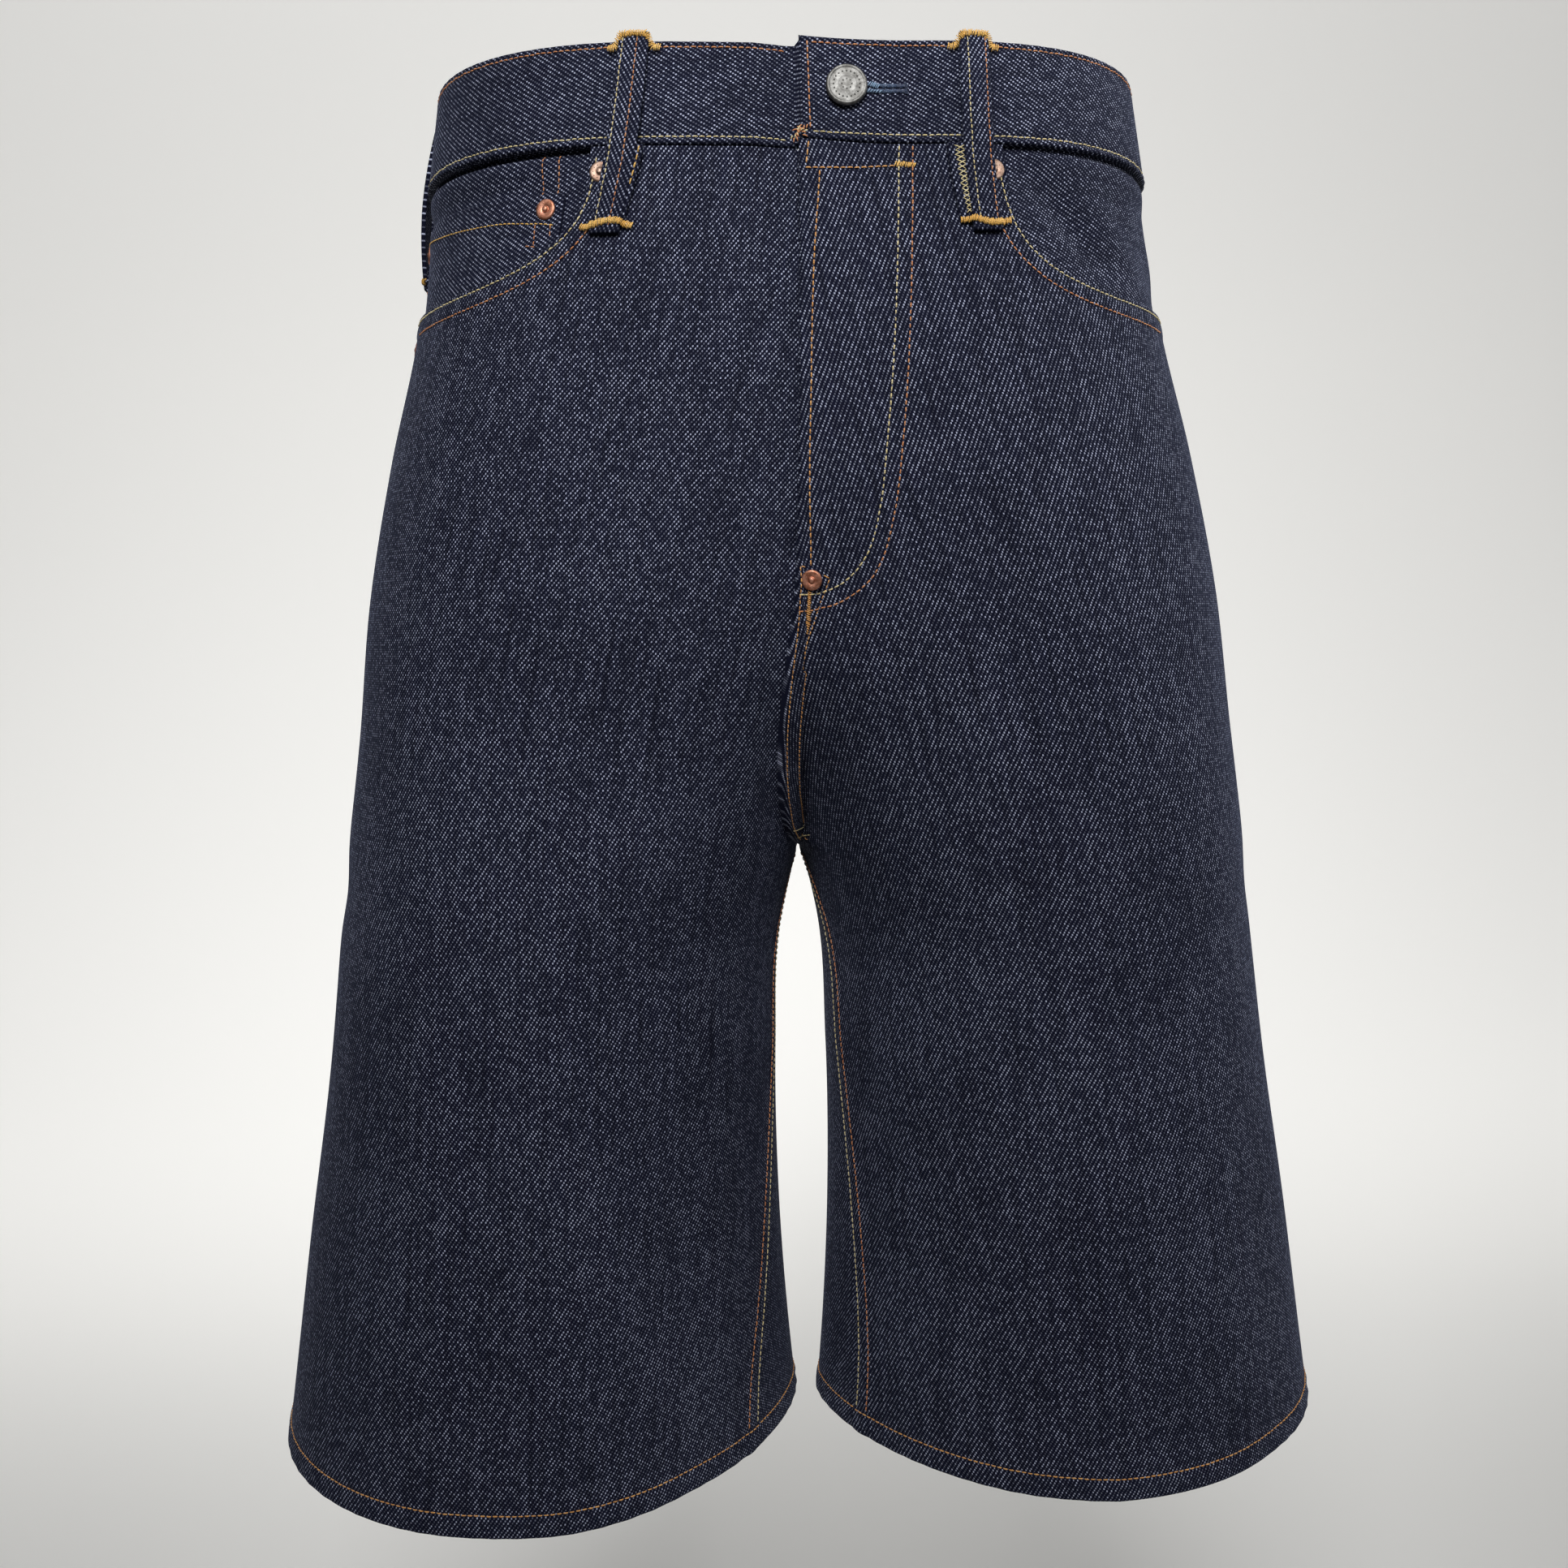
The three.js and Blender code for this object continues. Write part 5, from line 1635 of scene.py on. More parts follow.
@dataclass
class FlyPart(ClothPiece):
    """Fly facing behind the left front or the shield carried by the right front."""

    cloth: float = 1.2
    shield: bool = False

    @property
    def node(self) -> str:
        """Name of the solid."""
        return "fly_shield" if self.shield else "fly_facing"

    def grid(self) -> tuple[Array, Array]:
        """Rows from the waistband to the fly's foot, across by distance from the centre plane."""
        rows, columns = 50, 20
        r, s = np.linspace(0, 1, rows)[:, None], np.linspace(0, 1, columns)[None]
        top = PANEL_TOP - 3.0 - (0.3 if self.shield else 0.0)
        foot = FLY_FOOT + (8 if self.shield else 4)
        level = np.broadcast_to(top + (foot - top) * r, (rows, columns)).copy()
        curve = clamp((FLY_FOOT + 42 - level) / 42)
        width = 4 + 41 * np.sqrt(1 - curve**2)
        x = -13 + 51 * s if self.shield else 1 + (width - 1) * s
        return level, FORM.signed_place(level, np.broadcast_to(x, level.shape))

    def out(self, level: Array, place: Array) -> Array:
        """Under the front panel, the shield under the facing."""
        under = -3.9 if self.shield else -2.0
        return np.full(np.broadcast(level, place).shape, under)


@dataclass
class Waistband:
    """One strip round the waist, from the flap's end by the left, the back and the right to under the flap."""

    proud: float = 0.8
    cloth: float = 2.6
    flap_x: float = 1.3
    under_first: float = 18.0
    under_last: float = -42.0
    under_edge: float = 0.4
    beside_under: float = 8.0
    step: float = 2.4
    top_line: float = 18.4
    foot_line: float = -17.9
    allowance: float = 0.5
    finish: Denim = CROSS_DENIM

    def face(self, level: Array, place: Array) -> Array:
        """Points of the flap's face."""
        return FORM.face(1, level, place, self.proud + self.across(level))

    def columns(self, level: Array) -> tuple[Array, Array, Array]:
        """Side, place and dip of every column, one row for each level.

        Args:
            level: The rows' levels.

        Returns:
            Three grids: the side that the place is counted on, the place, and the share of the way under.
        """
        rows = np.asarray(level, float)[:, None]
        zero = np.zeros_like(rows)
        ring = FORM.place_at(rows, zero)
        near = np.array([0, 0.3, 0.8, 1.6, 2.8, 4.2]) / 420
        s = np.concatenate([near, np.linspace(0.0145, 1, 172)])[None]
        left = FORM.place_at(rows, zero + self.flap_x) * (1 - s) + (4 - ring) * s
        s = np.linspace(1, 0, 168)[None, 1:]
        right = FORM.place_at(rows, zero + self.under_first + self.beside_under) * (1 - s) + (4 - ring) * s
        x = spaced(24.5, self.under_last, 2.0)[None]
        under = FORM.signed_place(*np.broadcast_arrays(rows, x))
        dip = ease(1 - (x - self.under_edge) / (self.under_first + 2)) * np.ones_like(rows)
        side = np.concatenate([np.ones_like(left), -np.ones_like(right), -np.ones_like(under)], axis=1)
        place = np.concatenate([left, right, under], axis=1)
        return side, place, np.concatenate([left * 0, right * 0, dip], axis=1)

    def across(self, level: Array) -> Array:
        """Relief across the strip: rolled edges, troughs at the two stitch lines and a rolled foot."""
        top, foot = FORM.band_top - level, level - FORM.band_seam
        lines = -0.35 * bump(level - self.top_line, 0.9) - 0.4 * bump(level - self.foot_line, 0.9)
        return lines + 0.45 * bump(foot - 1.2, 1.1) - roll(top, 1.25) - 0.9 * roll(foot, 1.1)

    def rows(self) -> Array:
        """Levels, close together at both edges and at the stitch lines."""
        edge = np.array([0, 0.2, 0.6, 1.1, 1.7, 2.2, 2.6, 3.0, 3.6, 4.6])
        between = np.linspace(4.6, 42 - 4.6, 16)[1:-1]
        return FORM.band_top - np.concatenate([edge, between, (42 - edge)[::-1]])

    def make(self) -> bpy.types.Object:
        """Builds the strip, its foot tucked under, and hides the imported solid."""
        rows = self.rows()
        side, place, dip = self.columns(rows)
        level = np.broadcast_to(rows[:, None], place.shape)
        station = self.flat_along()
        flat = np.stack([np.broadcast_to(station, level.shape), level], -1)
        wave = 0.22 * np.sin(station * 2 * np.pi / 9.0 + 1.4 * np.sin(station / 23.0))
        wave = wave[None] * (bump(level - self.foot_line + 0.5, 3.2) + 0.6 * bump(level - self.top_line, 3.2))
        base = self.proud - dip * (self.cloth + 0.4)
        ends = np.minimum(station, station[-1] - station)
        end_roll = roll(np.maximum(ends, 0), 1.1)[None]
        out = base + self.across(level) + wave - end_roll
        edges = roll(FORM.band_top - level, 1.25) + 0.5 * roll(level - FORM.band_seam, 0.9)
        inner = base - self.cloth + edges + 0.6 * end_roll
        low_level = np.concatenate([level, level[-1:], level[-1:] - self.allowance])
        tucked = base[-1:] - self.proud - 1.6
        outs = np.concatenate([out, tucked, tucked])
        inners = np.concatenate([inner, tucked - 0.3, tucked - 0.3])
        side = np.concatenate([side, side[-1:], side[-1:]])
        place = np.concatenate([place, place[-1:], place[-1:]])
        flat = np.concatenate([flat, flat[-1:] - (0, 1.5), flat[-1:] - (0, 2.0)])
        shape = [self.points(side, low_level, place, o) for o in (outs, inners)]
        parts = shell(shape[0], shape[1], flat, 0)
        piece = make_piece("cloth_waistband", parts, [self.finish, self.finish])
        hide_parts("waistband")
        length = float(station[-1]) * METRE
        state_sheet(piece, (length, 0.042), flat_area(shape[0]), "folded", ("cloth_yoke_left", "cloth_yoke_right"))
        return piece

    @staticmethod
    def points(side: Array, level: Array, place: Array, out: Array) -> Array:
        """Points of columns that lie on different sides."""
        level, place, out = np.broadcast_arrays(level, place, out)
        own, turned = FORM.own_half(side, level, place)
        height = FORM.folds(own, level, turned) + out
        return FORM.smooth(own, level, turned) + FORM.outward(own, level, turned) * height[..., None]

    def flat_along(self) -> Array:
        """Lengths along the strip's middle line to each column."""
        level = np.array([0.0])
        side, place, dip = self.columns(level)
        points = self.points(side, np.zeros_like(place), place, -dip * 2)
        return lengths_along(points[0])

    def line(self, at: float, first: float, last: float) -> tuple[Array, Array]:
        """Points and outward directions along the strip at a level, between two lengths from the flap's end."""
        station = self.flat_along()
        side, place, dip = self.columns(np.array([at]))
        level = np.full_like(place, at)
        wave = 0.22 * np.sin(station * 2 * np.pi / 9.0 + 1.4 * np.sin(station / 23.0))
        out = self.proud - dip * (self.cloth + 0.4) + self.across(level) + wave
        points = self.points(side, level, place, out)[0]
        own, turned = FORM.own_half(side, level, place)
        normals = FORM.outward(own, level, turned)[0]
        keep = (station >= first) & (station <= last)
        return points[keep], normals[keep]


@dataclass
class BeltLoop:
    """A folded strip tacked at the band's top edge and below its seam, standing off in between."""

    name: str
    side: int
    top: float
    foot: float
    bow: float
    width: float = 12.0
    cloth: float = 2.2
    over: float = 2.4
    foot_level: float = -57.0
    foot_rise: float = 0.0
    lemon: float = -3.6
    copper: float = 3.4
    under: tuple[float, float] = (0.0, 0.0)
    gold: tuple[float, float] = (0.0, 0.0)
    lattice: bool = False

    def point(self, share: Array, x: Array, thick: Array) -> Array:
        """Point at a share of the way down, beside the middle line, above the underside."""
        share, x, thick = np.broadcast_arrays(share, x, thick)
        level = FORM.band_top + self.over + (self.foot_level - FORM.band_top - self.over) * share
        on_band = np.minimum(level, FORM.band_top)
        seat = 0.8 + (self.foot_rise - 0.8) * ease((FORM.band_seam - level) / 6) + 0.4
        out = seat + self.bow * np.sin(np.pi * clamp(share)) ** 0.8 + thick
        middle = self.top + (self.foot - self.top) * share
        side = np.full(level.shape, float(self.side))
        if self.top > 3:
            side = np.where(x < 0, -1.0, 1.0)
            place = 4 - FORM.place_at(on_band, np.abs(x))
        else:
            width = np.linalg.norm(
                FORM.smooth(side, on_band, middle + 0.01) - FORM.smooth(side, on_band, middle - 0.01), axis=-1
            )
            place = middle + x * 0.02 / width
        points = Waistband.points(side, on_band, place, out)
        points[..., 2] += level - on_band
        return points

    def profile(self, x: Array) -> Array:
        """How far the loop's face falls towards its folded edges and dips at its stitch lines."""
        edge = self.width / 2 - np.abs(x)
        lines = -0.25 * bump(x - self.lemon, 0.7) - 0.25 * bump(x - self.copper, 0.7)
        return lines - roll(np.maximum(edge, 0), 0.9)

    def make(self) -> bpy.types.Object:
        """Builds the loop."""
        half = self.width / 2
        x = np.array([0, 0.12, 0.4, 0.9, 1.6, 2.4, 3.4, 4.6, 5.4, 6.0])
        x = np.concatenate([-half + x, (half - x)[::-1][1:]])[None]
        r = np.concatenate([[0, 0.003, 0.009, 0.02], np.linspace(0.035, 0.965, 52), [0.98, 0.991, 0.997, 1]])[:, None]
        ends = np.minimum(r, 1 - r) * 80
        outer = self.point(r, x, self.cloth + self.profile(x) - roll(ends, 0.9))
        inner = self.point(r, x, 0.35 * roll(half - np.abs(x), 0.9) + 0 * r)
        flat = np.stack(np.broadcast_arrays(x, -r * 80.0), -1)
        parts = shell(outer, inner, flat, 0)
        if self.under[0]:
            parts.join(self.folded_under())
        piece = make_piece(f"cloth_{self.name}", parts, [LOOP_DENIM, LOOP_DENIM])
        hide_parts(self.name)
        strip = (self.width + 0.65 * abs(self.under[0])) * METRE
        state_sheet(piece, (strip, 0.082), strip * 0.082, "folded", ("cloth_waistband",))
        return piece

    def folded_under(self) -> MeshParts:
        """The loop's own cloth that is folded under it below the band and shows beside one edge."""
        r = np.linspace(0, 1, 22)[:, None]
        s = np.concatenate([[0, 0.03, 0.08, 0.15], np.linspace(0.25, 1, 6)])[None]
        edge = self.under[0] + (self.under[1] - self.under[0]) * r
        x = edge * (1 - s)
        share = 0.572 + 0.378 * r
        inward = np.abs(x - edge)
        outer = self.point(share, x, 0.95 - 0.35 * ease(r * 3 - 2) - roll(inward, 0.7))
        inner = self.point(share, x, -0.75 + 0.0 * inward)
        flat = np.stack(np.broadcast_arrays(x + 30.0, -share * 80.0), -1)
        return shell(outer, inner, flat, 0)

    def overlock(self) -> None:
        """Lattice of thread over the folded cloth's edge: two crossed zigzags."""
        steps = np.arange(15)
        share = 0.585 + steps * 0.0235
        t = steps / steps[-1]
        near = self.under[0] + 2.7 + (self.under[1] - self.under[0]) * t + 0.3 * np.sin(steps * 2.1)
        far = np.minimum(near + 4.0 - 1.6 * t, -5.6)
        thick = np.full(len(steps), 1.0)
        for first, second in ((near, far), (far, near)):
            x = np.where(steps % 2 == 0, first, second)
            points = self.point(share, x, thick)
            SEWING.loops("stitches_overlock", LEMON, (points[:-1], points[1:]), self.outwards(share[1:]), OVERLOCK)

    def sew(self) -> None:
        """The two lines of stitches, the tacks at both ends and what is sewn beside the loop's edge."""
        if self.lattice:
            self.overlock()
        if self.gold[0]:
            share = np.linspace(0.575, 0.77, 30)
            x = np.linspace(self.gold[0], self.gold[1], 30)
            points = self.point(share, x, np.full(30, 0.9))
            SEWING.run("stitches_loop_gold", GOLD, points, self.outwards(share), TOPSTITCH)
        share = np.linspace(0.03, 0.97, 160)
        for x, thread in ((self.lemon, LEMON), (self.copper, COPPER_THREAD)):
            points = self.point(share, np.full(160, x), np.full(160, self.cloth - 0.2))
            beside = self.point(share, np.full(160, x + 0.5), np.full(160, self.cloth)) - self.point(
                share, np.full(160, x - 0.5), np.full(160, self.cloth)
            )
            normals = unit(np.cross(np.gradient(points, axis=0), beside))
            normals = normals * np.sign((normals * self.outwards(share)).sum(-1, keepdims=True))
            SEWING.run(f"stitches_{self.name}_{thread.name[7:]}", thread, points, normals, FINE_STITCH)
        for at, arch, wave in ((0.014, 0.062, 0.0), (0.952, 0.0, 0.011)):
            x = np.linspace(-10.3, 10.3, 48)
            thick = self.cloth + 0.1 - (self.cloth - 0.3) * ease((np.abs(x) - self.width / 2 + 0.4) / 1.4)
            share = at + arch * ease((np.abs(x) - 4.6) / 3.4) + wave * np.sin(x / 3.1 + 0.8 * self.side)
            points = self.point(share, x, thick)
            SEWING.tack("tacks_loops", GOLD, points, self.outwards(share), 2.9, 40)

    def outwards(self, share: Array) -> Array:
        """Directions out of the band beside the loop's middle line."""
        low = self.point(share, np.zeros(len(share)), np.zeros(len(share)))
        high = self.point(share, np.zeros(len(share)), np.ones(len(share)))
        return unit(high - low)


@dataclass
class TurnedTrim:
    """A struck metal trim turned about the cloth's outward direction."""

    name: str
    side: int
    level: float
    place: float
    out: float
    steps: int = 40

    def frame(self) -> tuple[Array, Array]:
        """The trim's seat and its three directions: across, up and out."""
        level, place = np.array([self.level]), np.array([self.place])
        seat = FORM.face(self.side, level, place, self.out)[0]
        out = FORM.outward(np.array([float(self.side)]), level, place)[0]
        across = unit(np.cross(np.array([0.0, 0.0, 1.0]), out))
        return seat, np.stack([across, np.cross(out, across), out])

    def turned(self, profile: Array) -> MeshParts:
        """A closed lathe of a profile from the axis to the axis, in radius and height."""
        seat, axes = self.frame()
        angle = np.arange(self.steps) / self.steps * 2 * np.pi
        rings = profile[1:-1]
        local = np.stack(
            [
                rings[:, :1] * np.cos(angle)[None],
                rings[:, :1] * np.sin(angle)[None],
                np.broadcast_to(rings[:, 1:], (len(rings), self.steps)),
            ],
            -1,
        ).reshape(-1, 3)
        ends = np.array([[0, 0, profile[0, 1]], [0, 0, profile[-1, 1]]])
        local = np.concatenate([local, ends])
        k = np.arange(self.steps)
        following = (k + 1) % self.steps
        first, last = len(local) - 2, len(local) - 1
        base = (len(rings) - 1) * self.steps
        quads = [
            ring_quads(len(rings), self.steps),
            np.stack([np.full(self.steps, first), following, k, k], -1),
            np.stack([np.full(self.steps, last), base + k, base + following, base + following], -1),
        ]
        parts = MeshParts()
        parts.take(seat + local @ axes, local[:, :2], np.concatenate(quads))
        return parts

    def dots(self, parts: MeshParts, radius: float, height: float, count: int, size: float) -> None:
        """Adds a ring of small raised dots."""
        seat, axes = self.frame()
        a = np.arange(count) / count * 2 * np.pi
        b = np.arange(8) / 8 * 2 * np.pi
        levels = np.array([[1.0, 0.0], [0.8, 0.55], [0.35, 0.92]])
        ring = np.stack([levels[:, :1] * np.cos(b), levels[:, :1] * np.sin(b), levels[:, 1:] * np.ones(8)], -1) * size
        cap = np.array([[[0, 0, size]], [[0, 0, -size * 0.3]]])
        dot = np.concatenate([ring.reshape(-1, 3), cap.reshape(-1, 3)])
        k, n = np.arange(8), (np.arange(8) + 1) % 8
        foot = np.stack([np.full(8, 25), n, k, k], -1)
        quads = np.concatenate([ring_quads(3, 8), np.stack([np.full(8, 24), 16 + k, 16 + n, 16 + n], -1), foot])
        middle = np.stack([radius * np.cos(a), radius * np.sin(a), np.full(count, height)], -1)
        local = (middle[:, None] + dot[None]).reshape(-1, 3)
        faces = (quads[None] + (np.arange(count) * len(dot))[:, None, None]).reshape(-1, 4)
        parts.take(seat + local @ axes, local[:, :2], faces)


@dataclass
class Button(TurnedTrim):
    """Jeans button on its shank, with a generic ring of dots on its face."""

    radius: float = 8.4

    def make(self) -> bpy.types.Object:
        """Builds the button."""
        r = self.radius
        profile = np.array(
            [
                (0, -2.6), (2.0, -2.6), (2.0, 0.6), (r - 1.4, 0.6), (r - 0.5, 0.95), (r, 1.6), (r, 2.1),
                (r - 0.2, 2.7), (r - 0.5, 3.05), (r - 0.85, 3.15), (r - 1.2, 3.08), (r - 1.45, 2.92),
                (r - 1.8, 2.88), (5.2, 2.95), (3.9, 3.05), (3.6, 3.12), (3.4, 3.05), (1.6, 3.1), (0, 3.12),
            ]
        )
        parts = self.turned(profile)
        self.dots(parts, 5.3, 2.85, 20, 0.42)
        self.dots(parts, 2.0, 2.98, 8, 0.4)
        piece = make_piece("trim_waist_button", parts, [BUTTON_SILVER], sharp=50)
        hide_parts(self.name)
        return piece


@dataclass
class Rivet(TurnedTrim):
    """Rivet: a low struck cap with a rim groove and a nub in the middle."""

    steps: int = 32
    pale: bool = False
    radius: float = 4.3

    def make(self) -> bpy.types.Object:
        """Builds the rivet."""
        r = self.radius
        profile = np.array(
            [
                (0, -0.6), (r - 0.3, -0.6), (r, -0.1), (r, 0.25), (r - 0.15, 0.6), (r - 0.5, 0.8), (r - 1.0, 0.84),
                (2.2, 0.8), (1.75, 0.66), (1.45, 0.5), (1.25, 0.6), (1.15, 1.1), (0.9, 1.4), (0.5, 1.5), (0, 1.5),
            ]
        )
        parts = self.turned(profile)
        self.dots(parts, 2.7, 0.72, 10, 0.28)
        finish = RIVET_PALE if self.pale else RIVET_COPPER
        piece = make_piece(f"trim_{self.name}", parts, [finish], sharp=50)
        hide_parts(self.name)
        return piece


def by_level(split: float, upper: Face, lower: Face) -> Face:
    """A face that is one piece's above a level and another's below it."""

    def face(level: Array, place: Array) -> Array:
        """Points of whichever piece has each level."""
        return np.where((level > split)[..., None], upper(level, place), lower(level, place))

    return face


@dataclass
class Seams:
    """Every line of stitches and every tack, sewn on the faces of the pieces that carry them."""

    fronts: dict[int, FrontPanel]
    backs: dict[int, BackPanel]
    yokes: dict[int, Yoke]
    pockets: dict[int, BackPocket]
    facings: dict[int, PocketFacing]
    coin: CoinPocket
    band: Waistband

    def sew(self) -> None:
        """Sews everything but the belt loops."""
        self.sew_band()
        self.sew_fly()
        self.sew_crotch()
        self.sew_coin_pocket()
        for side in (1, -1):
            self.sew_leg(side)
            self.sew_back(side)

    def sew_band(self) -> None:
        """The band's two long lines, the flap's upright line and its corner knots, and the buttonhole."""
        band = self.band
        total = band.flat_along()[-1]
        for at, thread, name in ((band.top_line, COPPER_THREAD, "top"), (band.foot_line, LEMON, "foot")):
            points, normals = band.line(at, 4.0, total - 46.0)
            SEWING.run(f"stitches_band_{name}", thread, points, normals, TOPSTITCH)
        SEWING.on("stitches_flap", COPPER_THREAD, band.face, Line(1, ((19.0, 4.6), (-17.0, 5.2)), Measure.FRONT))
        for thread, knots in (
            (COPPER_THREAD, ((-15.5, -1.2), (-17.5, 1.6), (-20.5, 3.0))),
            (LEMON, ((-18.4, -2.4), (-17.6, 0.4), (-18.6, 3.2))),
            (COPPER_THREAD, ((-19.6, -1.6), (-18.2, 0.8), (-16.6, 3.8))),
        ):
            level, place = Line(1, knots, Measure.FRONT).sampled()
            normals = FORM.outward(np.ones(len(level)), level, np.maximum(place, 0.2))
            points = FORM.face(1, level, place, 1.3)
            SEWING.tack(f"tack_flap_{thread.name[7:]}", thread, points, normals, 1.6, 7)
        for shift in (-1.15, 1.15):
            points, normals = self.on_band(((0.7 + shift, 28.0), (0.7 + shift * 0.9, 43.6)), 0.05)
            SEWING.tack("tack_buttonhole", BUTTONHOLE_BLUE, points, normals, 1.9, 38)
        points, normals = self.on_band(((2.6, 44.0), (-1.2, 44.2)), 0.1)
        SEWING.tack("tack_buttonhole", BUTTONHOLE_BLUE, points, normals, 1.5, 7)
        points, normals = self.on_band(((2.2, 29.4), (1.4, 33.0)), 0.5)
        SEWING.tack("tack_buttonhole_pale", PALE_BLUE, points, normals, 2.4, 6)
        points, normals = self.on_band(((-0.4, 29.0), (-0.9, 33.6)), 0.5)
        SEWING.tack("tack_buttonhole_pale", PALE_BLUE, points, normals, 1.6, 5)

    def on_band(self, knots: tuple[tuple[float, float], ...], lift: float) -> tuple[Array, Array]:
        """Points on the flap through knots of level and own x, and their outward directions."""
        level, place = Line(1, knots, Measure.FRONT).sampled()
        points = FORM.face(1, level, place, self.band.proud + lift)
        return points, FORM.outward(np.ones(len(level)), level, place)

    def on_front(self, knots: tuple[tuple[float, float], ...]) -> tuple[Array, Array]:
        """Points on the left front through knots of level and own x, and their outward directions."""
        level, place = Line(1, knots, Measure.FRONT).sampled()
        own, turned = FORM.own_half(np.ones(len(level)), level, place)
        return self.fronts[1].face(level, place), FORM.outward(own, level, turned)

    def sew_fly(self) -> None:
        """The fly's curved pair, its edge line, the line across its head and the tacks at head and foot."""
        left = self.fronts[1]
        SEWING.on("stitches_fly_inner", LEMON, left.face, FLY_J_INNER)
        SEWING.on("stitches_fly_outer", COPPER_THREAD, left.face, FLY_J_OUTER)
        SEWING.on("stitches_fly_edge", ORANGE, left.face, FLY_EDGE_LINE)
        head = Line(1, ((-32.5, 2.6), (-31.6, 18.0), (-30.0, 39.0)), Measure.FRONT)
        SEWING.on("stitches_fly_head", ORANGE, left.face, head)
        SEWING.on("stitches_fly_head", ORANGE, left.face, Line(1, ((-22.0, 4.4), (-31.0, 3.2)), Measure.FRONT))
        for knots, thread, height, count in (
            (((-29.0, 39.2), (-29.6, 47.0)), GOLD, 2.4, 12),
            (((-199.0, 2.5), (-207.0, 2.2)), ORANGE, 1.5, 11),
            (((-207.0, 2.2), (-212.6, 2.0)), ORANGE, 1.9, 8),
            (((-212.8, 2.0), (-215.6, 1.9)), ORANGE, 0.9, 4),
        ):
            points, normals = self.on_front(knots)
            SEWING.tack(f"tack_fly_{thread.name[7:]}", thread, points, normals, height, count)

    def sew_crotch(self) -> None:
        """The pair of lines down the felled seam below the fly, and the rows across its foot."""
        face = self.fronts[1].face
        for beside, name, knots in (
            (1.9, "left", ((-188.4, -2.1), (-194.5, -2.1), (-200.0, -2.5), (-206.5, -3.0))),
            (8.1, "right", ((-194.2, 10.2), (-197.4, 9.1), (-202.2, 7.1), (-206.1, 5.6), (-211.2, 4.3))),
        ):
            levels = np.linspace(knots[-1][0] - 9.0, -312.0, 22)
            line = Line(1, (*knots, *zip(levels, lap_x(levels) + beside)), Measure.FRONT)
            SEWING.on(f"stitches_crotch_{name}", ORANGE, face, line, FINE_STITCH)
        for knots in (((-188.4, -2.1), (-189.0, 0.9)), ((-192.3, 7.6), (-194.0, 10.4))):
            SEWING.on("stitches_crotch_head", ORANGE, face, Line(1, knots, Measure.FRONT), FINE_STITCH)
        for level in (-305.0, -309.5):
            x = float(lap_x(np.array([level]))[0])
            line = Line(1, ((level, x + 1.2), (level - 0.6, x + 5.0), (level, x + 10.0)), Measure.FRONT)
            SEWING.on("stitches_crotch_foot", LEMON, face, line, FINE_STITCH)

    def sew_coin_pocket(self) -> None:
        """The fold's line, and the two upright lines that run on up the facing."""
        facing, coin = self.facings[-1], self.coin
        fold = Line(-1, ((-41.0, 1.94), (-46.0, 1.695), (-47.6, 1.51), (-48.3, 1.40), (-51.0, 1.262)))
        SEWING.on("stitches_coin_fold", GOLD, coin.face, fold, FINE_STITCH)
        both = by_level(-38.0, facing.face, coin.face)
        for place, low in ((1.305, -59.0), (1.266, -56.0)):
            for first, last in ((-22.5, -39.4), (-50.0, low)):
                line = Line(-1, ((first, place + 0.004), (last, place)))
                SEWING.on("stitches_coin_side", COPPER_THREAD, both, line, FINE_STITCH)
        end = Line(-1, ((-58.6, 1.33), (-59.4, 1.30)))
        SEWING.on("stitches_coin_side", COPPER_THREAD, coin.face, end, FINE_STITCH)

    def sew_leg(self, side: int) -> None:
        """Mouth, hem, inside leg and outseam lines of one leg."""
        front, back, mouth = self.fronts[side], self.backs[side], MOUTHS[side]
        SEWING.on("stitches_mouth_lemon", LEMON, front.face, mouth.edge(2.0, 87))
        SEWING.on("stitches_mouth_copper", COPPER_THREAD, front.face, mouth.edge(8.3, 84))
        for panel in (front, back):
            SEWING.on("stitches_hem", ORANGE, panel.face, panel.hem_line())
        SEWING.on("stitches_inseam_seam", LEMON, front.face, front.inseam_line(1.8, -322.0))
        SEWING.on("stitches_inseam_far", COPPER_THREAD, front.face, front.inseam_line(7.2, -322.0))
        upper = by_level(-58.2, self.yokes[side].face, back.face)
        for beside in (1.7, 6.6):
            place = FORM.outseam + beside / 96
            knots = tuple((level, place) for level in (-23.0, -50.0, -70.0, -92.0))
            SEWING.on("stitches_outseam", COPPER_THREAD, upper, Line(side, knots))

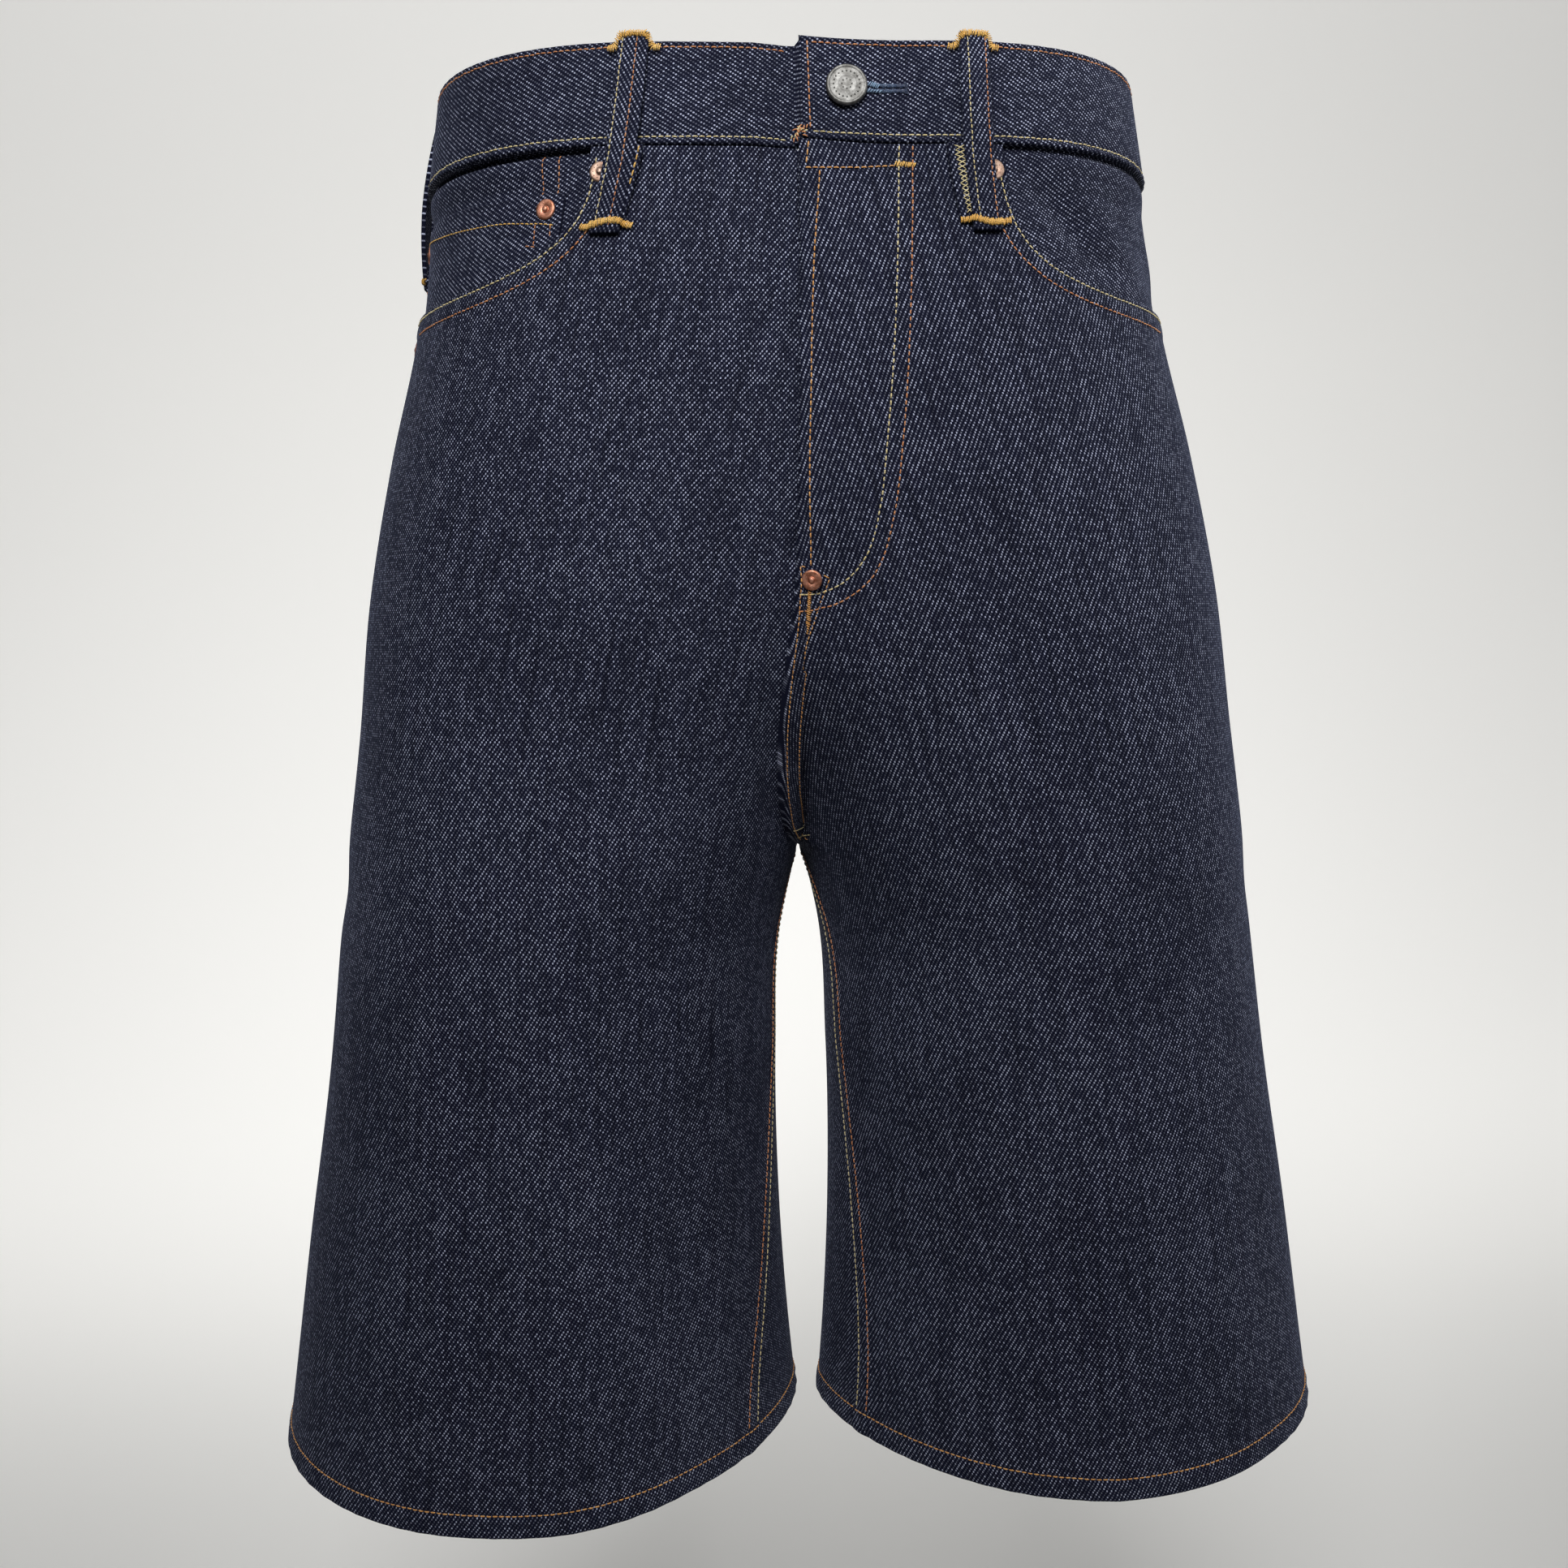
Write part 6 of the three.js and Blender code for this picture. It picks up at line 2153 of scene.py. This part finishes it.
    def sew_back(self, side: int) -> None:
        """Yoke, back pocket and centre back lines of one half."""
        back, yoke, pocket = self.backs[side], self.yokes[side], self.pockets[side]
        start = FORM.outseam + 0.02
        end = float(back_end(side, np.array([-88.0]))[0]) - 0.02
        for above, thread in ((1.8, LEMON), (7.4, COPPER_THREAD)):
            places = np.linspace(start, end, 30)
            line = Line(side, tuple(zip(yoke_level(places) + above, places)))
            SEWING.on(f"stitches_yoke_{thread.name[7:]}", thread, yoke.face, line)
        for inset, thread in ((1.9, LEMON), (7.6, COPPER_THREAD)):
            SEWING.on(f"stitches_pocket_{thread.name[7:]}", thread, pocket.face, pocket.edge_line(inset))
        for down, thread in ((9.5, COPPER_THREAD), (15.5, LEMON)):
            s, r = np.linspace(0.03, 0.97, 20), np.full(20, down / pocket.height)
            line = Line(side, tuple(zip(*pocket.place(s, r))))
            SEWING.on(f"stitches_pocket_{thread.name[7:]}", thread, pocket.face, line)
        for s in (0.03, 0.97):
            level, place = pocket.place(np.full(2, s), np.array([0.01, 0.075]))
            line_level, line_place = Line(side, tuple(zip(level, place))).sampled()
            normals = FORM.outward(np.full(len(line_level), float(side)), line_level, line_place)
            SEWING.tack("tack_pockets", GOLD, pocket.face(line_level, line_place), normals, 2.4, 13)
        if side > 0:
            for beside, thread in ((1.8, LEMON), (7.4, COPPER_THREAD)):
                for first, last, face in ((-24.0, -89.0, yoke.face), (-92.0, -300.0, back.face)):
                    line = Line(side, tuple((level, beside) for level in np.linspace(first, last, 26)), Measure.BACK)
                    SEWING.on(f"stitches_centre_back_{thread.name[7:]}", thread, face, line)


@dataclass(frozen=True)
class Backdrop:
    """Pale floor that sweeps up into a pale wall, with painted light: the wall behind the shorts glows, standing in for
    lamplight on it.
    """

    floor: float = -1.0
    front: float = -4.0
    wall: float = 2.3
    top: float = 3.4
    half: float = 4.5
    bend: float = 1.3
    colour: Colour = (0.80, 0.795, 0.775)
    # Colour of the painted light that the wall behind the shorts gives off by emission.
    painted_wall_light: Colour = (0.455, 0.45, 0.437)

    def make(self) -> None:
        """Builds the sweep: the floor, a quarter circle and the wall in one sheet."""
        angle = np.linspace(0, np.pi / 2, 24)
        y = np.concatenate([[self.front], self.wall - self.bend + self.bend * np.sin(angle), [self.wall]])
        z = np.concatenate([[self.floor], self.floor + self.bend * (1 - np.cos(angle)), [self.top]])
        x = np.array([-self.half, self.half])
        points = np.stack(np.broadcast_arrays(x[None], y[:, None], z[:, None]), -1).reshape(-1, 3)
        mesh = bpy.data.meshes.new("backdrop")
        mesh.from_pydata(points.tolist(), [], grid_quads(len(y), 2)[:, ::-1].tolist())
        mesh.polygons.foreach_set("use_smooth", np.ones(len(mesh.polygons), bool))
        sweep = bpy.data.objects.new("backdrop", mesh)
        bpy.context.scene.collection.objects.link(sweep)
        board = Board("backdrop_paint")
        cloud = board.noise(board.object_place(), 2.0, 3.0)
        across, depth = board.plan()
        # Painted light: the wall behind the shorts glows by emission, fading out on the floor in front and towards the
        # sides.
        behind = depth.between(0.2, 1.5) * (1.0 - across.absolute().between(1.7, 2.6))
        painted_wall_light = board.mix(behind, (0.0, 0.0, 0.0), self.painted_wall_light)
        paint = board.mix(cloud, dim(self.colour, 0.98), self.colour)
        board.set(Base_Color=paint, Roughness=0.95, Emission_Color=painted_wall_light, Emission_Strength=1.0)
        mesh.materials.append(board.material)


@dataclass(frozen=True)
class Softbox:
    """A square studio lamp aimed at the shorts."""

    name: str
    place: tuple[float, float, float]
    size: float
    watts: float
    aim: tuple[float, float, float] = (0.0, 0.0, -0.2)
    spread: float = 180.0

    def make(self) -> None:
        """Hangs the lamp."""
        lamp = bpy.data.lights.new(self.name, "AREA")
        lamp.shape, lamp.size, lamp.energy = "SQUARE", self.size, self.watts
        lamp.spread = float(np.radians(self.spread))
        lamp.color = (1.0, 1.0, 1.0)
        holder = bpy.data.objects.new(self.name, lamp)
        back = unit(np.array(self.place) - np.array(self.aim))
        across = unit(np.cross((0.0, 0.0, 1.0), back))
        axes = np.stack([across, np.cross(back, across), back], axis=1)
        placed = np.eye(4)
        placed[:3, :3], placed[:3, 3] = axes, self.place
        holder.matrix_world = Matrix(placed.tolist())
        bpy.context.scene.collection.objects.link(holder)


@dataclass(frozen=True)
class PhotoCamera:
    """Camera at the photograph's viewing angle, from the fit of the worn form's outline."""

    focal_pixels: float = 1900.0
    picture: float = 1932.0
    pitch: float = 5.5
    yaw: float = 4.5
    roll: float = 1.0
    back_off: float = 751.0
    beside: float = -6.0
    height: float = -228.0

    def make(self) -> None:
        """Places the camera."""
        a, e, r = np.radians([self.yaw, self.pitch, self.roll])
        ahead = np.array([np.sin(a), np.cos(a), 0.0])
        right = np.array([np.cos(a), -np.sin(a), 0.0])
        place = -ahead * self.back_off + right * self.beside + np.array([0, 0, self.height])
        axis = ahead * np.cos(e) - np.array([0, 0, 1.0]) * np.sin(e)
        up = np.cross(right, axis)
        turned_right = right * np.cos(r) - up * np.sin(r)
        turned_up = np.cross(turned_right, axis)
        camera = bpy.data.cameras.new("camera")
        camera.sensor_width = 36.0
        camera.lens = 36.0 * self.focal_pixels / self.picture
        camera.clip_start = 0.01
        holder = bpy.data.objects.new("camera", camera)
        placed = np.eye(4)
        placed[:3, :3] = np.stack([turned_right, turned_up, -axis], axis=1)
        placed[:3, 3] = place * METRE
        holder.matrix_world = Matrix(placed.tolist())
        bpy.context.scene.collection.objects.link(holder)
        bpy.context.scene.camera = holder


def studio_light() -> None:
    """Large soft lamps and a pale surround."""
    world = bpy.data.worlds.new("surround")
    bpy.context.scene.world = world
    world.use_nodes = True
    world.node_tree.nodes["Background"].inputs["Color"].default_value = (0.93, 0.95, 1.0, 1.0)
    world.node_tree.nodes["Background"].inputs["Strength"].default_value = 0.034
    for lamp in (
        Softbox("key", (-0.25, -1.45, 1.05), 0.8, 5.9, (0.0, 0.0, 0.05), 65.0),
        Softbox("fill", (1.1, -1.5, 0.8), 1.0, 1.5, (0.0, 0.0, 0.0), 70.0),
        Softbox("side", (1.5, -0.1, 0.8), 0.9, 3.0, spread=90.0),
        Softbox("wall_wash", (0.0, 0.7, 2.4), 2.4, 12.0, (0.0, 2.3, 0.4), 120.0),
    ):
        lamp.make()
    bpy.context.scene.view_settings.view_transform = "Standard"


LOOPS = (
    BeltLoop(
        "belt_loop_front_left", 1, 1.152, 1.124, 2.6,
        lemon=-3.0, copper=4.2, under=(-12.6, -10.4), lattice=True,
    ),
    BeltLoop(
        "belt_loop_front_right", -1, 1.112, 1.136, 2.6,
        lemon=4.1, copper=-1.6, under=(-8.6, -6.8), gold=(-7.2, -6.3),
    ),
    BeltLoop("belt_loop_side_left", 1, 2.08, 2.07, 3.8, foot_rise=0.7),
    BeltLoop("belt_loop_side_right", -1, 2.05, 2.03, 3.8, foot_rise=0.7),
    BeltLoop("belt_loop_centre_back", 1, 3.9, 3.9, 2.8, foot_rise=0.7),
)


def place_beside(level: float, x: float) -> float:
    """Front place at a level and a distance from the centre plane."""
    return float(FORM.place_at(np.array([level]), np.array([x]))[0])


def make_trims() -> None:
    """Makes the button and the rivets."""
    trims = [
        Button("waist_button", 1, 0.7, place_beside(0.7, 20.0), 0.8),
        Rivet("rivet_fly_foot", 1, -194.0, place_beside(-194.0, 3.4), 2.5),
        Rivet("rivet_pocket_top_left", 1, -31.5, 1.168, 0.2, pale=True),
        Rivet("rivet_pocket_top_right", -1, -31.5, 1.168, 0.2, pale=True),
        Rivet("rivet_pocket_side_left", 1, -86.5, FORM.outseam - 0.045, 0.2),
        Rivet("rivet_pocket_side_right", -1, -86.5, FORM.outseam - 0.045, 0.2),
        Rivet("rivet_coin_inner", -1, -44.5, 1.287, -1.6),
        Rivet("rivet_coin_outer", -1, -44.5, FORM.outseam - 0.045, -1.6),
    ]
    for trim in trims:
        piece = trim.make()
        LOG.info("%s: %d faces", piece.name, len(piece.data.polygons))


def main() -> None:
    """Builds the pieces in order, dresses them and sets the picture."""
    logging.basicConfig(level=logging.INFO, format="%(message)s")
    PhotoCamera().make()
    studio_light()
    Backdrop().make()
    fronts = {side: FrontPanel(side) for side in (1, -1)}
    backs = {side: BackPanel(side) for side in (1, -1)}
    yokes = {side: Yoke(side) for side in (1, -1)}
    pockets = {side: BackPocket(side) for side in (1, -1)}
    facings = {1: PocketFacing(1), -1: PocketFacing(-1, under=-3.35)}
    coin = CoinPocket(-1)
    fly = [FlyPart(1), FlyPart(1, shield=True)]
    halves = (fronts, backs, yokes, pockets, facings)
    for part in [part for half in halves for part in half.values()] + [coin, *fly]:
        part.make()
    band = Waistband()
    band.make()
    for loop in LOOPS:
        loop.make()
        loop.sew()
    make_trims()
    Seams(fronts, backs, yokes, pockets, facings, coin, band).sew()
    SEWING.finish()


if __name__ == "__main__":
    main()
